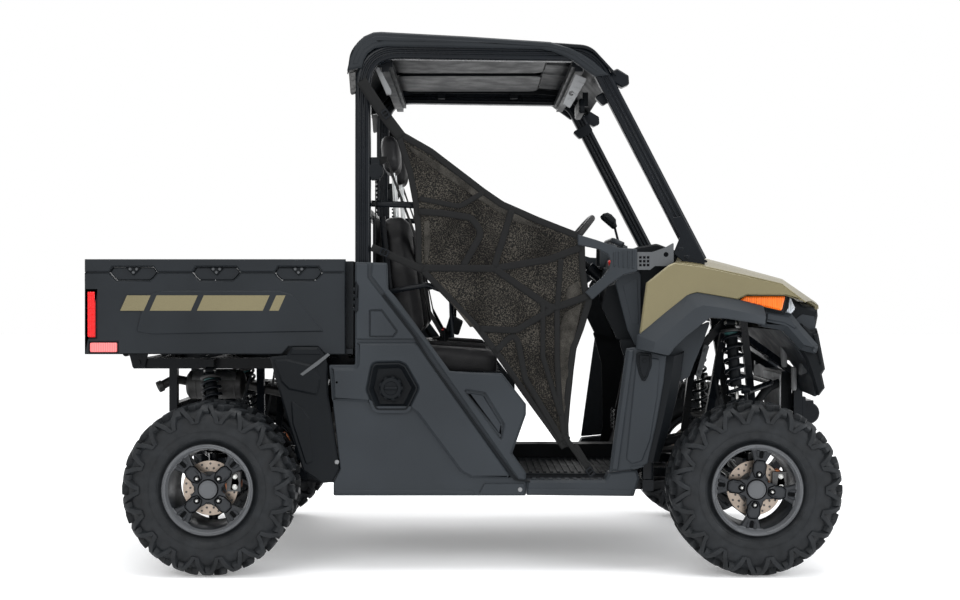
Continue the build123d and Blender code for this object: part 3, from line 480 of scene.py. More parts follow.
PANEL = grained("panel_plastic", (0.0215, 0.0255, 0.0300), 0.5, shine=0.17)
DARK = grained("dark_plastic", (0.0052, 0.0064, 0.0078), 0.45, shine=0.10)
TRIM = grained("light_trim_plastic", (0.20, 0.205, 0.21), 0.5, vary=0.06)
GREY = grained("grey_trim_plastic", (0.070, 0.074, 0.078), 0.45, vary=0.08)
POWDER = grained("frame_powder_coat", (0.0042, 0.0056, 0.0076), 0.26, grain=500, depth=0.08, shine=0.14)
BED = grained("bed_plastic", (0.0125, 0.0150, 0.0178), 0.46, shine=0.15)
KHAKI = painted("khaki_paint", (0.158, 0.136, 0.070))
RIM = grained("rim_paint", (0.016, 0.018, 0.021), 0.34, grain=500, depth=0.12, coat=0.15)
# near-black material for painted shade in the rim's grooves, slots and nut wells
RECESS_SHADE = grained("recess_painted_shade", (0.0022, 0.0025, 0.003), 0.6, shine=0.05)
RIM_LIP = grained("rim_lip", (0.080, 0.084, 0.090), 0.32, grain=500, depth=0.1, coat=0.2)
RUBBER = rubber("tyre_rubber", (0.0090, 0.0104, 0.0120))
STEEL = metal("bright_steel", (0.62, 0.62, 0.60), 0.28)
DISC = metal("brake_disc", (0.33, 0.275, 0.23), 0.34, (60, 60, 60), 0.06)
ZINC = metal("zinc_steel", (0.46, 0.47, 0.47), 0.4)
CAST = metal("cast_iron", (0.10, 0.10, 0.10), 0.55, (60, 60, 60), 0.3)
ALLOY = metal("alloy", (0.55, 0.56, 0.57), 0.36)
COPPER = metal("caliper_finish", (0.72, 0.26, 0.12), 0.42, (60, 60, 60), 0.2)
# the net's light specks are painted light coming through the mesh
NET = woven("net_fabric", (0.0095, 0.0095, 0.0090), (0.070, 0.063, 0.052), 185.0)
# paler net for the single-layer strips: painted light coming through one layer of mesh
NET_SINGLE = woven("net_single_layer", (0.036, 0.034, 0.030), (0.088, 0.082, 0.072), 420.0)
BELT = webbing("belt_webbing", (0.0065, 0.0068, 0.007))
SEAT = leathery("seat_vinyl", (0.009, 0.009, 0.010))
SEAT_PANEL = woven("seat_insert", (0.007, 0.007, 0.008), (0.022, 0.022, 0.024), 160.0, 0.5)
RED = lens("lamp_red", (0.60, 0.009, 0.010), 0.08)
# the reflector is no lamp: its glow is painted light for the light it sends back
PALE_RED = lens("reflector_red", (0.76, 0.17, 0.17), 0.16)
AMBER = lens("lamp_amber", (0.80, 0.150, 0.012), 0.14)
CLEAR = lens("lamp_clear", (0.55, 0.58, 0.62), 0.1)
RED_PLASTIC = grained("red_plastic", (0.55, 0.02, 0.015), 0.4, vary=0.05)
TEAL = grained("shock_collar", (0.04, 0.12, 0.12), 0.35, coat=0.3)
SLOTS = {POWDER: "steel", DARK: "black_plastic", STEEL: "steel", CAST: "steel", RUBBER: "tyre",
         ZINC: "steel", PANEL: "panel_plastic", TRIM: "alloy", KHAKI: "khaki_paint",
         BED: "bed_plastic", CLEAR: "lamp_clear", GREY: "steel", BELT: "belt_fabric",
         RED_PLASTIC: "lamp_red", ALLOY: "alloy"}


def dress(node, material, bevel=1.5):
    """Finishes a CAD node that stays, with softened edges."""
    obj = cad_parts[node]
    obj.data.materials.clear()
    obj.data.materials.append(material)
    merge = obj.modifiers.new("flats", "DECIMATE")
    merge.decimate_type, merge.angle_limit = "DISSOLVE", radians(1)
    soften(obj, bevel, 25)


# ------------------------------------------------------------------ sizes shared with the frame
FRONT_X, REAR_X, AXLE_Z = middle("tyre_front_right")[0], middle("tyre_rear_right")[0], 312
SHOCK_ENDS = (((1000, 400, 900.4), (1030, 462, 439.3), 9), ((-985, 388, 719.7), (-945, 462, 439.3), 7))


# ------------------------------------------------------------------ wheels
def tyre_profile(half):
    """(radius, distance from the middle) down one side of the carcass."""
    return [(291, 0), (291, half - 42), (287, half - 24), (277, half - 11), (258, half - 3),
            (232, half), (205, half - 3), (186, half - 9), (178, half - 14), (171, half - 21),
            (166, half - 24), (153, half - 26)]


LUG_BULGE = 8.2              # how far the shoulder lugs stand out of the sidewall
LUG_COUNT = 18
TREAD_RADIUS = 285           # where the lugs' sideways shift is measured


def make_tyre(half):
    """Tyre about Z: smooth carcass, slanted crown lugs and V-shaped lugs over the shoulders."""
    side = tyre_profile(half)
    profile = [(r, -z) for r, z in reversed(side)] + side[1:]
    carcass = skin([ring(r, 96, z) for r, z in profile], caps=False)
    tyre = Shape().join(carcass)

    surface = [(291, 0), (291, half - 44), (290, half - 30), (284, half - 15), (271, half - 5),
               (254, half), (236, half + 1)]

    def at(angle, station, lift, spread):
        """Point over the carcass: station runs from the middle (0) down the sidewall (1)."""
        place = station * (len(surface) - 1)
        k = min(int(place), len(surface) - 2)
        t = place - k
        r0, z0 = surface[k]
        r1, z1 = surface[k + 1]
        r, z = r0 + (r1 - r0) * t, z0 + (z1 - z0) * t
        out = Vector((z1 - z0, -(r1 - r0))).normalized()
        r, z = r + out.x * lift, z + out.y * lift
        turn = angle + spread / TREAD_RADIUS
        return r * cos(turn), r * sin(turn), z

    def lug(angle, path, height, width):
        """Block whose middle line is a list of (station, sideways shift, share of its height)."""
        rows = []
        top, base = width * 0.5, width * 0.5 + 4
        for station, shift, drop in path:
            rows.append([at(angle, station, -3, shift - base),
                         at(angle, station, height * drop, shift - top),
                         at(angle, station, height * drop, shift + top),
                         at(angle, station, -3, shift + base)])
        return skin(rows)

    half_tread = Shape()
    for k in range(LUG_COUNT):
        angle = 2 * pi * k / LUG_COUNT
        # two arms of a V that meet low on the sidewall, and run up to the crown
        for slant in (-1, 1):
            half_tread.join(lug(angle, [(0.40, slant * 40, 1), (0.50, slant * 36, 1),
                                        (0.66, slant * 26, 0.95), (0.80, slant * 14, 0.55),
                                        (0.96, slant * 6, 0.35)], 19, 17))
        half_tread.join(lug(angle, [(0.02, -34, 1), (0.16, -22, 1), (0.30, -2, 1), (0.42, 6, 1)], 20, 22))
        half_tread.join(lug(angle + pi / LUG_COUNT, [(0.10, -26, 0.96), (0.24, -10, 1), (0.38, 2, 1),
                                                     (0.52, 6, 1), (0.64, 3, 0.8)], 19, 19))
    tyre.join(half_tread)
    other = Shape()
    turn = Matrix.Rotation(pi / LUG_COUNT, 4, "Z") @ Matrix.Rotation(pi, 4, "X")
    tyre.join(other.join(half_tread, turn))
    for r in (212, 208, 184):                   # rings moulded in the sidewall
        z = half - (2.2 if r > 200 else 9)
        for sign in (-1, 1):
            tyre.join(skin([ring(r + 1.2, 96, sign * z), ring(r, 96, sign * (z + 1.6)),
                            ring(r - 1.2, 96, sign * z)], caps=False))
    squeeze = half / (half + LUG_BULGE)
    tyre.points = [(x, y, z * squeeze) for x, y, z in tyre.points]
    return tyre


def arc_bar(inner, outer, start, stop, low, high, edge):
    """Flat bar bent round the axle between two angles, with sloped edges."""
    outline, steps = [], 14
    for radius, first, last in ((inner, start, stop), (outer, stop, start)):
        for s in range(steps + 1):
            a = first + (last - first) * s / steps
            outline.append((radius * cos(a), radius * sin(a)))
    return slab(outline, low, high, edge)


def make_rim(half, spoke_angle):
    """Rim about Z, face towards +Z: (satin body, brighter lip, bright nuts, near-black recesses as painted
    shade).
    """
    lip_z, face = half - 12, half - 34
    body = turned([(150, -half + 12), (165, -half + 12), (165.5, -half + 15), (152.4, -half + 28),
                   (150, half - 30), (152, half - 26), (164, half - 13), (160, lip_z), (148, half - 20),
                   (143, half - 40), (138, half - 70), (134, -half + 40), (146, -half + 14)], 96,
                  caps=False)
    lip, nuts, recesses = Shape(), Shape(), Shape()
    lip.join(turned([(158, lip_z - 4), (162.5, lip_z - 1), (160, lip_z + 1.5), (152, lip_z - 1),
                     (145.5, half - 22), (144, half - 30)], 96, caps=False))
    for k in range(4):
        turn = Matrix.Rotation(radians(spoke_angle) + k * pi / 2, 4, "Z")
        spoke = Shape()
        outline = rounded([(28, -30), (50, -30), (74, -22), (98, -20), (122, -30), (147, -42), (151, 0),
                           (147, 42), (122, 30), (98, 20), (74, 22), (50, 30), (28, 30)],
                          [0, 8, 16, 16, 12, 3, 0, 3, 12, 16, 16, 8, 0])
        spoke.join(slab(outline, face - 18, face + 2, edge=3))
        shield = rounded([(44, -11), (62, -21), (88, -22), (103, -13), (103, 13), (88, 22), (62, 21),
                          (44, 11)], 6)
        spoke.join(slab(shield, face, face + 9, edge=3.5))
        spoke.join(slab(inset(shield, 6), face + 8, face + 9.5, edge=1))
        for sign in (-1, 1):                    # raised walls each side of the slot near the lip
            rib = rounded([(112, sign * 7), (141, sign * 8), (141, sign * 20), (118, sign * 15)], 3)
            spoke.join(slab(rib, face, face + 7, edge=2.5))
        body.join(spoke, turn)
        recesses.join(slab(inset(shield, -3.5), face - 2, face + 2.8), turn)
        slot = rounded([(112, -6), (139, -7), (139, 7), (112, 6)], 5)
        recesses.join(slab(slot, face - 2, face + 3.0), turn)
        flare = slab(rounded([(136, -44), (150, -47), (153, 0), (150, 47), (136, 44), (139, 0)], 2),
                     face - 4, face + 4, edge=2)
        lip.join(flare, turn)
        lip.join(arc_bar(150, 156, radians(21), radians(69), lip_z - 3, lip_z + 3, 1), turn)
        lip.join(arc_bar(155, 161.5, radians(-11), radians(11), lip_z - 2, lip_z + 2.4, 1), turn)
        nut_at = Matrix.Translation((55, 0, face + 2))
        recesses.join(turned([(12, -4), (12, 9.4), (1, 9.4)], 24), turn @ nut_at)
        nuts.join(turned([(8, -2), (8, 9), (6.6, 13), (4, 16), (1, 16.8)], 6), turn @ nut_at)
    body.join(turned([(48, face - 18), (50, face - 4), (46, face + 2), (36, face + 3)], 48))
    lip.join(turned([(31, face + 2), (33, face + 6), (31, face + 9.5), (28, face + 10), (27, face + 8.5),
                     (3, face + 8.5)], 48))
    recesses.join(turned([(37.5, face), (37.5, face + 3.6), (31, face + 3.6)], 48))
    return body, lip, nuts, recesses


def make_disc(half):
    """Brake disc with dark dots as painted shade for its drilled holes, its bell and the stub behind the
    wheel, about Z.
    """
    face = half - 46
    disc = turned(rect(60, face - 28, 99, face - 32), 64, caps=False)
    # the drilled holes are not cut: small dark cast-iron dots on the face are painted shade for them
    holes = Shape()
    for k in range(18):
        a = 2 * pi * k / 18
        for r, shift in ((72, 0), (88, 0.17)):
            holes.join(turned([(4, face - 27.9), (4, face - 26.9), (3.2, face - 27.6)], 12),
                       Matrix.Translation((r * cos(a + shift), r * sin(a + shift), 0)))
    bell = turned([(12, face - 8), (40, face - 8), (46, face - 14), (46, face - 30), (60, face - 33),
                   (60, face - 30)], 48)
    stub = turned([(26, face - 30), (24, face - 40), (17, face - 44), (17, face - 56)], 32)
    return disc, holes, bell.join(stub)


def wheels():
    for corner, side in CORNERS.items():
        low, high = node_box("tyre_" + corner)
        half = (high[1] - low[1]) / 2
        x, y, z = middle("tyre_" + corner)
        outward = Matrix.Rotation(-side * pi / 2, 4, "X")
        place = Matrix.Translation((x, y, z)) @ outward
        body = "wheel_" + corner
        tyre = Shape().join(make_tyre(half - 1.2), place)
        piece("tyre_" + corner + ".tread", tyre, RUBBER, body=body, hides=["tyre_" + corner], bevel=1.6,
              angle=40)
        rim, lip, nuts, recesses = make_rim(half, -8 if "front" in corner else 45)
        piece("rim_" + corner + ".cast", Shape().join(rim, place), RIM, "rim_paint", body=body,
              hides=["rim_" + corner], bevel=0.8, angle=35)
        piece("rim_" + corner + ".lip", Shape().join(lip, place), RIM_LIP, "rim_paint", body=body,
              bevel=0.5)
        # near-black pieces in the grooves, slots and nut wells: painted shade
        piece("rim_" + corner + ".recesses", Shape().join(recesses, place), RECESS_SHADE, "rim_paint", body=body)
        piece("nuts_" + corner, Shape().join(nuts, place), STEEL, body=body, bevel=0.4)
        disc, holes, bell = make_disc(half)
        piece("brake_disc_" + corner, Shape().join(disc, place), DISC, "steel", body=body,
              hides=["hub_" + corner], bevel=0.5)
        # dark dots: painted shade of the drilled holes
        piece("disc_holes_" + corner, Shape().join(holes, place), CAST, "iron", body=body)
        piece("disc_bell_" + corner, Shape().join(bell, place), CAST, "iron", body=body, bevel=0.8)


# ------------------------------------------------------------------ suspension and machinery
def caliper(x, side, z):
    """Brake caliper over the disc, ahead of the axle."""
    y = 664
    shape = Shape()
    body = rounded([(x + 54, z - 14), (x + 100, z - 18), (x + 114, z + 8), (x + 110, z + 52),
                    (x + 88, z + 70), (x + 60, z + 62), (x + 48, z + 22)], 9)
    shape.join(upright(slab(body, y - 2, y + 16, edge=4), side))
    outer = rounded([(x + 70, z - 10), (x + 104, z - 8), (x + 112, z + 20), (x + 104, z + 52),
                     (x + 80, z + 60)], 9)
    shape.join(upright(slab(outer, y + 20, y + 38, edge=5), side))
    bridge = rounded([(x + 98, z - 8), (x + 113, z + 2), (x + 111, z + 50), (x + 92, z + 62)], 6)
    shape.join(upright(slab(bridge, y + 8, y + 30, edge=1), side))
    return shape


def spring_coil(top, bottom, radius, wire, turns):
    """Coil spring of round wire between its two seats."""
    place = frame_of(top, bottom)
    length = (Vector(bottom) - Vector(top)).length
    steps = 26 * turns
    path = []
    for k in range(steps + 1):
        t = k / steps
        path.append(place @ Vector((radius * cos(2 * pi * turns * t), radius * sin(2 * pi * turns * t),
                                    wire + (length - 2 * wire) * t)))
    return swept(path, round_section(wire, 12), up=Vector(bottom) - Vector(top))


def shocks():
    """Coil-over shock absorbers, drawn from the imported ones' ends."""
    coils, bodies, rods, collars, seats = Shape(), Shape(), Shape(), Shape(), Shape()
    for top, bottom, turns in SHOCK_ENDS:
        for side in (RIGHT, LEFT):
            a = Vector((top[0], side * top[1], top[2]))
            b = Vector((bottom[0], side * bottom[1], bottom[2]))
            along, length = (b - a).normalized(), (b - a).length
            coils.join(spring_coil(a + along * 32, b - along * 54, 34, 6.6, turns))
            bodies.join(between(a, b, turned([(14, 8), (20, 18), (20, 34), (22, 40), (22, length * 0.5),
                                              (19, length * 0.52), (11, length * 0.52)], 32)))
            for step in range(9):                # threads for the preload ring
                z = 44 + 5 * step
                bodies.join(between(a, b, turned([(22, z), (23.2, z + 1.2), (22, z + 2.4)], 32,
                                                 caps=False)))
            seats.join(between(a, b, turned([(24, 22), (39, 24), (40, 31), (37, 35), (24, 36)], 36)))
            seats.join(between(a, b, turned([(18, length - 56), (37, length - 54), (40, length - 49),
                                             (37, length - 40), (16, length - 30)], 36)))
            rods.join(between(a, b, turned([(8, length * 0.5), (8, length - 34), (11, length - 30),
                                            (11, length - 14)], 24)))
            collars.join(between(a, b, turned([(24, 34), (27, 36), (27, 46), (24, 48)], 12)))
            for eye in (a, b):
                bodies.join(rod(eye - Vector((17, 0, 0)), eye + Vector((17, 0, 0)), 14.5, 28, 2))
                rods.join(bolt(eye + Vector((17, 0, 0)), (1, 0, 0), 8, 6))
                rods.join(bolt(eye - Vector((17, 0, 0)), (-1, 0, 0), 8, 6))
    piece("spring_coils", coils, POWDER, hides=["springs"])
    piece("shock_bodies", bodies, DARK, "steel", hides=["shock_absorbers"], bevel=0.6)
    piece("shock_rods", rods, STEEL, bevel=0.4)
    piece("shock_collars", collars, TEAL, "steel", bevel=0.8)
    piece("spring_seats", seats, CAST, bevel=0.8)


def bellows(start, end, r0, r1, folds):
    """Rubber boot that tapers from r0 to r1."""
    length = (Vector(end) - Vector(start)).length
    profile = [(r0 + 1, 0), (r0 + 1, length * 0.06)]
    for k in range(folds):
        t0 = (k + 0.5) / (folds + 0.5)
        r = r0 + (r1 - r0) * t0
        profile += [(r - 4, length * (0.08 + 0.84 * (k + 0.1) / folds)),
                    (r + 2.5, length * (0.08 + 0.84 * (k + 0.55) / folds))]
    profile += [(r1, length * 0.93), (r1, length)]
    return between(start, end, turned(profile, 36))


def running_gear():
    """Half shafts with their boots and bands, and the calipers with their pins."""
    boots, bands = Shape(), Shape()
    for axle_x, steered in ((FRONT_X, True), (REAR_X, False)):
        for side in (RIGHT, LEFT):
            inner = Vector((axle_x, side * 162, AXLE_Z + 46))
            outer = Vector((axle_x, side * 596, AXLE_Z + 2))
            along = (outer - inner).normalized()
            boots.join(bellows(inner, inner + along * 95, 34, 15, 5))
            boots.join(bellows(outer, outer - along * 90, 26, 14, 5))
            bands.join(rod(inner + along * 88, outer - along * 84, 11, 24))
            for ratio in (0.02, 0.96):
                spot = inner + along * 95 * ratio
                radius = 36.5 if ratio < 0.5 else 16.5
                bands.join(between(spot, spot + along * 5, turned([(radius, 0), (radius, 5)], 36)))
            body = ("knuckle_right" if side == RIGHT else "knuckle_left") if steered else "chassis"
            lump = caliper(axle_x, side, AXLE_Z)
            name = ("front" if steered else "rear") + ("_right" if side == RIGHT else "_left")
            piece("caliper_" + name, lump, COPPER, "alloy", body=body, bevel=1.5)
            pins = Shape()
            for dz in (6, 44):
                pins.join(bolt((axle_x + 92, side * 702, AXLE_Z + dz), (0, side, 0), 7, 5))
            piece("caliper_pins_" + name, pins, STEEL, body=body, bevel=0.3)
    piece("shaft_boots", boots, RUBBER)
    piece("shaft_bands", bands, ZINC, bevel=0.4)


# ------------------------------------------------------------------ body sides
def panel(outline, low, high, edge=4, holes=(), corner=0):
    """Upright plate of the right side between two distances from the middle."""
    outline = rounded(outline, corner) if corner else outline
    return upright(slab(outline, low, high, edge, holes=holes))


def rails(*lines):
    """Surface through equally long lines of points, edge to edge."""
    shape = Shape()
    count = len(lines[0])
    faces = []
    for r in range(len(lines) - 1):
        for k in range(count - 1):
            a = r * count + k
            faces.append((a, a + 1, a + 1 + count, a + count))
    return shape.add([p for line in lines for p in line], faces)


def at_y(points, y):
    return [(x, -y, z) for x, z in points]


def thick(obj, depth, offset=-1.0):
    """Gives a surface its thickness."""
    wall = obj.modifiers.new("wall", "SOLIDIFY")
    wall.thickness, wall.offset = depth * MM, offset
    while obj.modifiers[0] != wall:
        bpy.ops.object.select_all(action="DESELECT")
        bpy.context.view_layer.objects.active = obj
        bpy.ops.object.modifier_move_up(modifier=wall.name)
    return obj


QUARTER = [(-506, 753), (-410, 753), (-410, 1128), (-293, 1124), (-289, 1028), (-263, 1000), (-142, 836),
           (-63, 727), (124, 723), (212, 610), (212, 573), (162, 431), (212, 360), (212, 277), (-489, 277),
           (-489, 323), (-464, 373)]
FILLER = [(-340, 754), (-250, 756), (-231, 747), (-187, 669), (-224, 594), (-331, 594), (-359, 663)]
FILLER_CAP = middle("fuel_cap")


def quarter_panels():
    """Moulded side panels: a low field, raised field, slanting groove and front blade."""
    bowl = rounded(FILLER, 16)
    skin_plate = panel(QUARTER, 628, 634, edge=3, holes=[bowl], corner=8)
    plain = panel(QUARTER, 628, 634, edge=3, corner=8)
    field_outline = [(-502, 748), (-407, 748), (-407, 840), (-184, 840), (-174, 827), (170, 336), (14, 336),
                     (-30, 360), (-188, 572), (-210, 588), (-345, 588), (-358, 612), (-494, 620)]
    upper = [(-406, 847), (-406, 1122), (-364, 1122), (-364, 1070), (-190, 847)]
    blade = [(-352, 1076), (-346, 1124), (-298, 1122), (-293, 1030), (-268, 1000), (-147, 836), (-66, 731),
             (121, 718), (207, 608), (207, 575), (157, 431), (208, 358), (208, 336), (184, 338),
             (-162, 835)]
    recess = rounded([(-17, 664), (62, 652), (132, 538), (121, 478)], 7)
    window = rounded([(-359, 954), (-312, 954), (-254, 875), (-271, 853), (-359, 853)], 8)
    raised = Shape()
    raised.join(panel(upper, 633, 642, edge=3, corner=6, holes=[window]))
    raised.join(panel(inset(window, 5), 633, 640, edge=2))
    raised.join(panel(blade, 633, 646, edge=5, corner=7, holes=[recess]))
    raised.join(panel(inset(recess, 9), 632, 637, edge=3))
    raised.join(panel([(-484, 283), (30, 283), (12, 298), (-484, 298)], 633, 637, edge=3, corner=3))
    raised.join(panel([(40, 283), (205, 283), (205, 322), (60, 322)], 633, 640, edge=3, corner=4))
    right = Shape().join(skin_plate).join(raised).join(panel(field_outline, 633, 645, edge=15,
                                                             holes=[bowl], corner=12))
    left = Shape().join(plain).join(raised).join(panel(field_outline, 633, 645, edge=15, corner=12))
    # bowl round the fuel cap: its rim, sloping walls and floor
    floor = inset(bowl, 16)
    walls = skin([[(x, -646, z) for x, z in inset(bowl, -5)], [(x, -648, z) for x, z in bowl],
                  [(x, -640, z) for x, z in inset(bowl, 4)], [(x, -618, z) for x, z in floor],
                  [(x, -616, z) for x, z in inset(bowl, 26)]], caps=False)
    points, faces = fill(inset(bowl, 26), 616)
    walls.add([(x, -y, z) for x, z, y in points], faces)
    flipped = Shape().add([(x, -y, z) for x, y, z in left.points], [tuple(reversed(f)) for f in left.faces])
    piece("quarter_panel_skins", right.join(flipped), PANEL, hides=["quarter_panels"], bevel=1.2, angle=28)
    piece("fuel_bowl", walls, DARK, bevel=0.6)
    cap = Shape()
    knob = turned([(36, 0), (43, 3), (43, 8), (40, 12), (40, 18), (37, 22), (26, 24), (24, 21), (3, 21)],
                  48)
    cap.join(knob)
    for k in range(9):
        grip = slab(rounded([(33, -6), (43.5, -7.5), (45, 0), (43.5, 7.5), (33, 6)], 3), 6, 20, edge=2)
        cap.join(grip, Matrix.Rotation(2 * pi * k / 9, 4, "Z"))
    cap.join(slab(rounded(rect(-24, -6, 24, 6), 5), 20, 28, edge=3))
    x, _, z = FILLER_CAP
    seat = Matrix.Translation((x, -617, z)) @ Matrix.Rotation(pi / 2, 4, "X")
    piece("fuel_cap.knob", Shape().join(cap, seat), DARK, hides=["fuel_cap"], bevel=0.8)
    trim, dark = Shape(), Shape()
    for x, z in ((-330, 1095), (-476, 690), (-476, 400), (190, 300)):
        trim.join(bolt((x, -640, z), OUTWARD, 6, 4))
    dark.join(panel([(-411, 940), (-398, 950), (-396, 1040), (-409, 1062)], 634, 647, edge=3, corner=5))
    for k in range(4):
        dark.join(panel(rect(-418, 950 + 24 * k, -404, 962 + 24 * k), 630, 644, edge=2))
    piece("panel_bolts", trim.mirrored(), TRIM, "steel", bevel=0.3)
    # dark strip along the slanting groove: painted shade, joined to the catches
    strip = [(-312, 1006), (-196, 848), (-144, 766), (168, 334), (226, 326), (226, 332), (176, 340),
             (-137, 772), (-189, 856), (-304, 1010)]
    dark.join(panel(strip, 628, 641, edge=0.5))
    piece("panel_catches_and_groove_shade", dark.mirrored(), DARK, bevel=0.8)


def rear_liners():
    """Faceted splash guards between the wheels and the cab."""
    main = [(-722, 782), (-660, 788), (-640, 818), (-545, 818), (-520, 788), (-512, 752), (-508, 640),
            (-466, 374), (-492, 326), (-530, 322), (-600, 368), (-655, 549)]
    shape = panel(main, 616, 634, edge=6, corner=6)
    shape.join(panel([(-708, 772), (-660, 776), (-560, 752), (-534, 700), (-545, 640), (-652, 662),
                      (-680, 690)], 632, 642, edge=8, corner=10))
    shape.join(panel([(-646, 632), (-600, 600), (-574, 560), (-560, 400), (-590, 386), (-640, 540)],
                     632, 640, edge=7, corner=12))
    shape.join(panel([(-640, 812), (-550, 812), (-532, 790), (-648, 790)], 632, 638, edge=3, corner=4))
    inner = rails(at_y([(-722, 782), (-690, 660), (-655, 549), (-600, 368), (-530, 322)], 620),
                  at_y([(-716, 780), (-684, 660), (-648, 552), (-594, 374), (-528, 330)], 520))
    piece("splash_guards", shape.mirrored(), DARK, hides=["rear_liners"], bevel=1.2)
    thick(piece("splash_guard_inner", inner.mirrored(), DARK), 4)


def sills():
    """Door sills with a step, tread ribs and lower edge."""
    outline = [(213, 279), (604, 275), (624, 339), (616, 371), (514, 361), (500, 333), (213, 333)]
    shape = panel(outline, 564, 640, edge=8, corner=6)
    shape.join(panel([(218, 284), (592, 281), (600, 300), (218, 302)], 638, 644, edge=3, corner=3))
    for k in range(9):
        x = 236 + 30 * k
        shape.join(block((x, -622, 331), (x + 14, -566, 335.5)))
    piece("door_sills", shape.mirrored(), PANEL, hides=["sills"], bevel=1.5)


def side_cowls():
    """Panels behind the front wheels: door post, main face and the turned-in arch."""
    shape = panel([(514, 364), (577, 813), (606, 817), (722, 786), (712, 690), (690, 560), (655, 396),
                   (617, 374)], 626, 641, edge=4, corner=5)
    shape.join(panel([(520, 370), (582, 808), (604, 808), (546, 372)], 640, 650, edge=5, corner=6))
    shape.join(panel([(612, 786), (700, 776), (690, 640), (664, 480), (634, 404), (598, 392), (574, 410)],
                     640, 646, edge=5, corner=14))
    shape.join(panel([(598, 372), (640, 383), (640, 388), (590, 384)], 640, 645, edge=2))
    arch = rails(at_y([(708, 787), (700, 690), (678, 560), (643, 396)], 632),
                 at_y([(752, 786), (738, 690), (712, 560), (674, 398)], 636),
                 at_y([(790, 796), (770, 660), (738, 520), (698, 396)], 606),
                 at_y([(800, 802), (780, 660), (744, 520), (704, 396)], 560))
    piece("side_cowl_panels", shape.mirrored(), PANEL, hides=["side_cowls"], bevel=1.3)
    thick(piece("wheel_arch_turnins", arch.mirrored(), DARK, bevel=1.2), 4)
    clip = rounded([(612, 800), (667, 796), (668, 752), (654, 712), (644, 694), (632, 696), (620, 722),
                    (612, 760)], 9)
    catch = Shape().join(panel(clip, 644, 650, edge=3)).join(panel(inset(clip, 8), 649, 655, edge=3))
    piece("cowl_clips", catch.mirrored(), DARK, bevel=0.8)
    pins = Shape().join(bolt((640, -655, 770), OUTWARD, 6, 4))
    piece("cowl_clip_bolts", pins.mirrored(), DARK, "steel", bevel=0.3)


def front_fenders():
    """Flared fenders over the front wheels."""
    a = [(610, 812), (616, 862), (706, 938), (796, 1010), (833, 1018), (905, 1006), (980, 992), (1074, 968)]
    b = [(664, 802), (676, 836), (744, 897), (816, 958), (848, 970), (915, 961), (990, 946), (1074, 928)]
    c = [(720, 790), (736, 813), (786, 860), (847, 907), (872, 926), (930, 922), (1000, 911), (1066, 899)]
    d = [(728, 794), (744, 817), (793, 866), (852, 914), (875, 933), (932, 929), (1000, 918), (1066, 906)]
    flare = rails(at_y(a, 640), at_y(inset_line(a, b, 0.16), 652), at_y(b, 688),
                  at_y(inset_line(b, c, 0.85), 700), at_y(c, 698), at_y(d, 690), at_y(d, 600))
    thick(piece("front_fender_flares", flare.mirrored(), PANEL, hides=["front_fenders"], bevel=2.0,
                angle=18), 4)


def inset_line(first, second, share):
    return [(p[0] + (q[0] - p[0]) * share, p[1] + (q[1] - p[1]) * share) for p, q in zip(first, second)]


SHOULDER = [(752, 1126), (800, 1122), (851, 1114), (925, 1098), (1000, 1082), (1070, 1066), (1141, 1049),
            (1226, 984)]
HOOD_EDGE = [(820, 1153), (850, 1151), (895, 1146), (970, 1126), (1050, 1103), (1120, 1082), (1200, 1058),
             (1335, 968)]


def body_cowls():
    """Khaki cowls: upright sides, and slopes up to the hood with a sharp shoulder."""
    outline = [(624, 860), (649, 1051), (730, 1116), (754, 1126), (851, 1113), (1000, 1080), (1141, 1048),
               (1224, 983), (1154, 1006), (1012, 1006), (980, 989), (833, 1014), (808, 1007)]
    shape = panel(outline, 626, 644, edge=5, corner=[2, 10, 16, 6, 0, 0, 0, 3, 8, 6, 8, 10, 10])
    top = rails(at_y(SHOULDER, 642), at_y(inset_line(SHOULDER, HOOD_EDGE, 0.05), 630),
                *[[(x, -y, z + bulge) for x, z in inset_line(SHOULDER, HOOD_EDGE, share)]
                  for share, y, bulge in ((0.28, 574, 9), (0.55, 508, 13), (0.8, 450, 9))],
                at_y(HOOD_EDGE, 404), at_y([(x, z - 14) for x, z in HOOD_EDGE], 403))
    inner = panel([(722, 792), (766, 832), (837, 886), (896, 914), (868, 835), (836, 760), (816, 706),
                   (752, 672), (712, 622), (690, 640)], 560, 570, edge=2, corner=8)
    piece("arch_inner_panels", inner.mirrored(), PANEL, "black_plastic", bevel=1)
    piece("cowl_sides", shape.mirrored(), KHAKI, hides=["body_cowls"], bevel=1.5, angle=30)
    slopes = piece("cowl_slopes", top.mirrored(), KHAKI, bevel=0, angle=40)
    thick(slopes, 4)


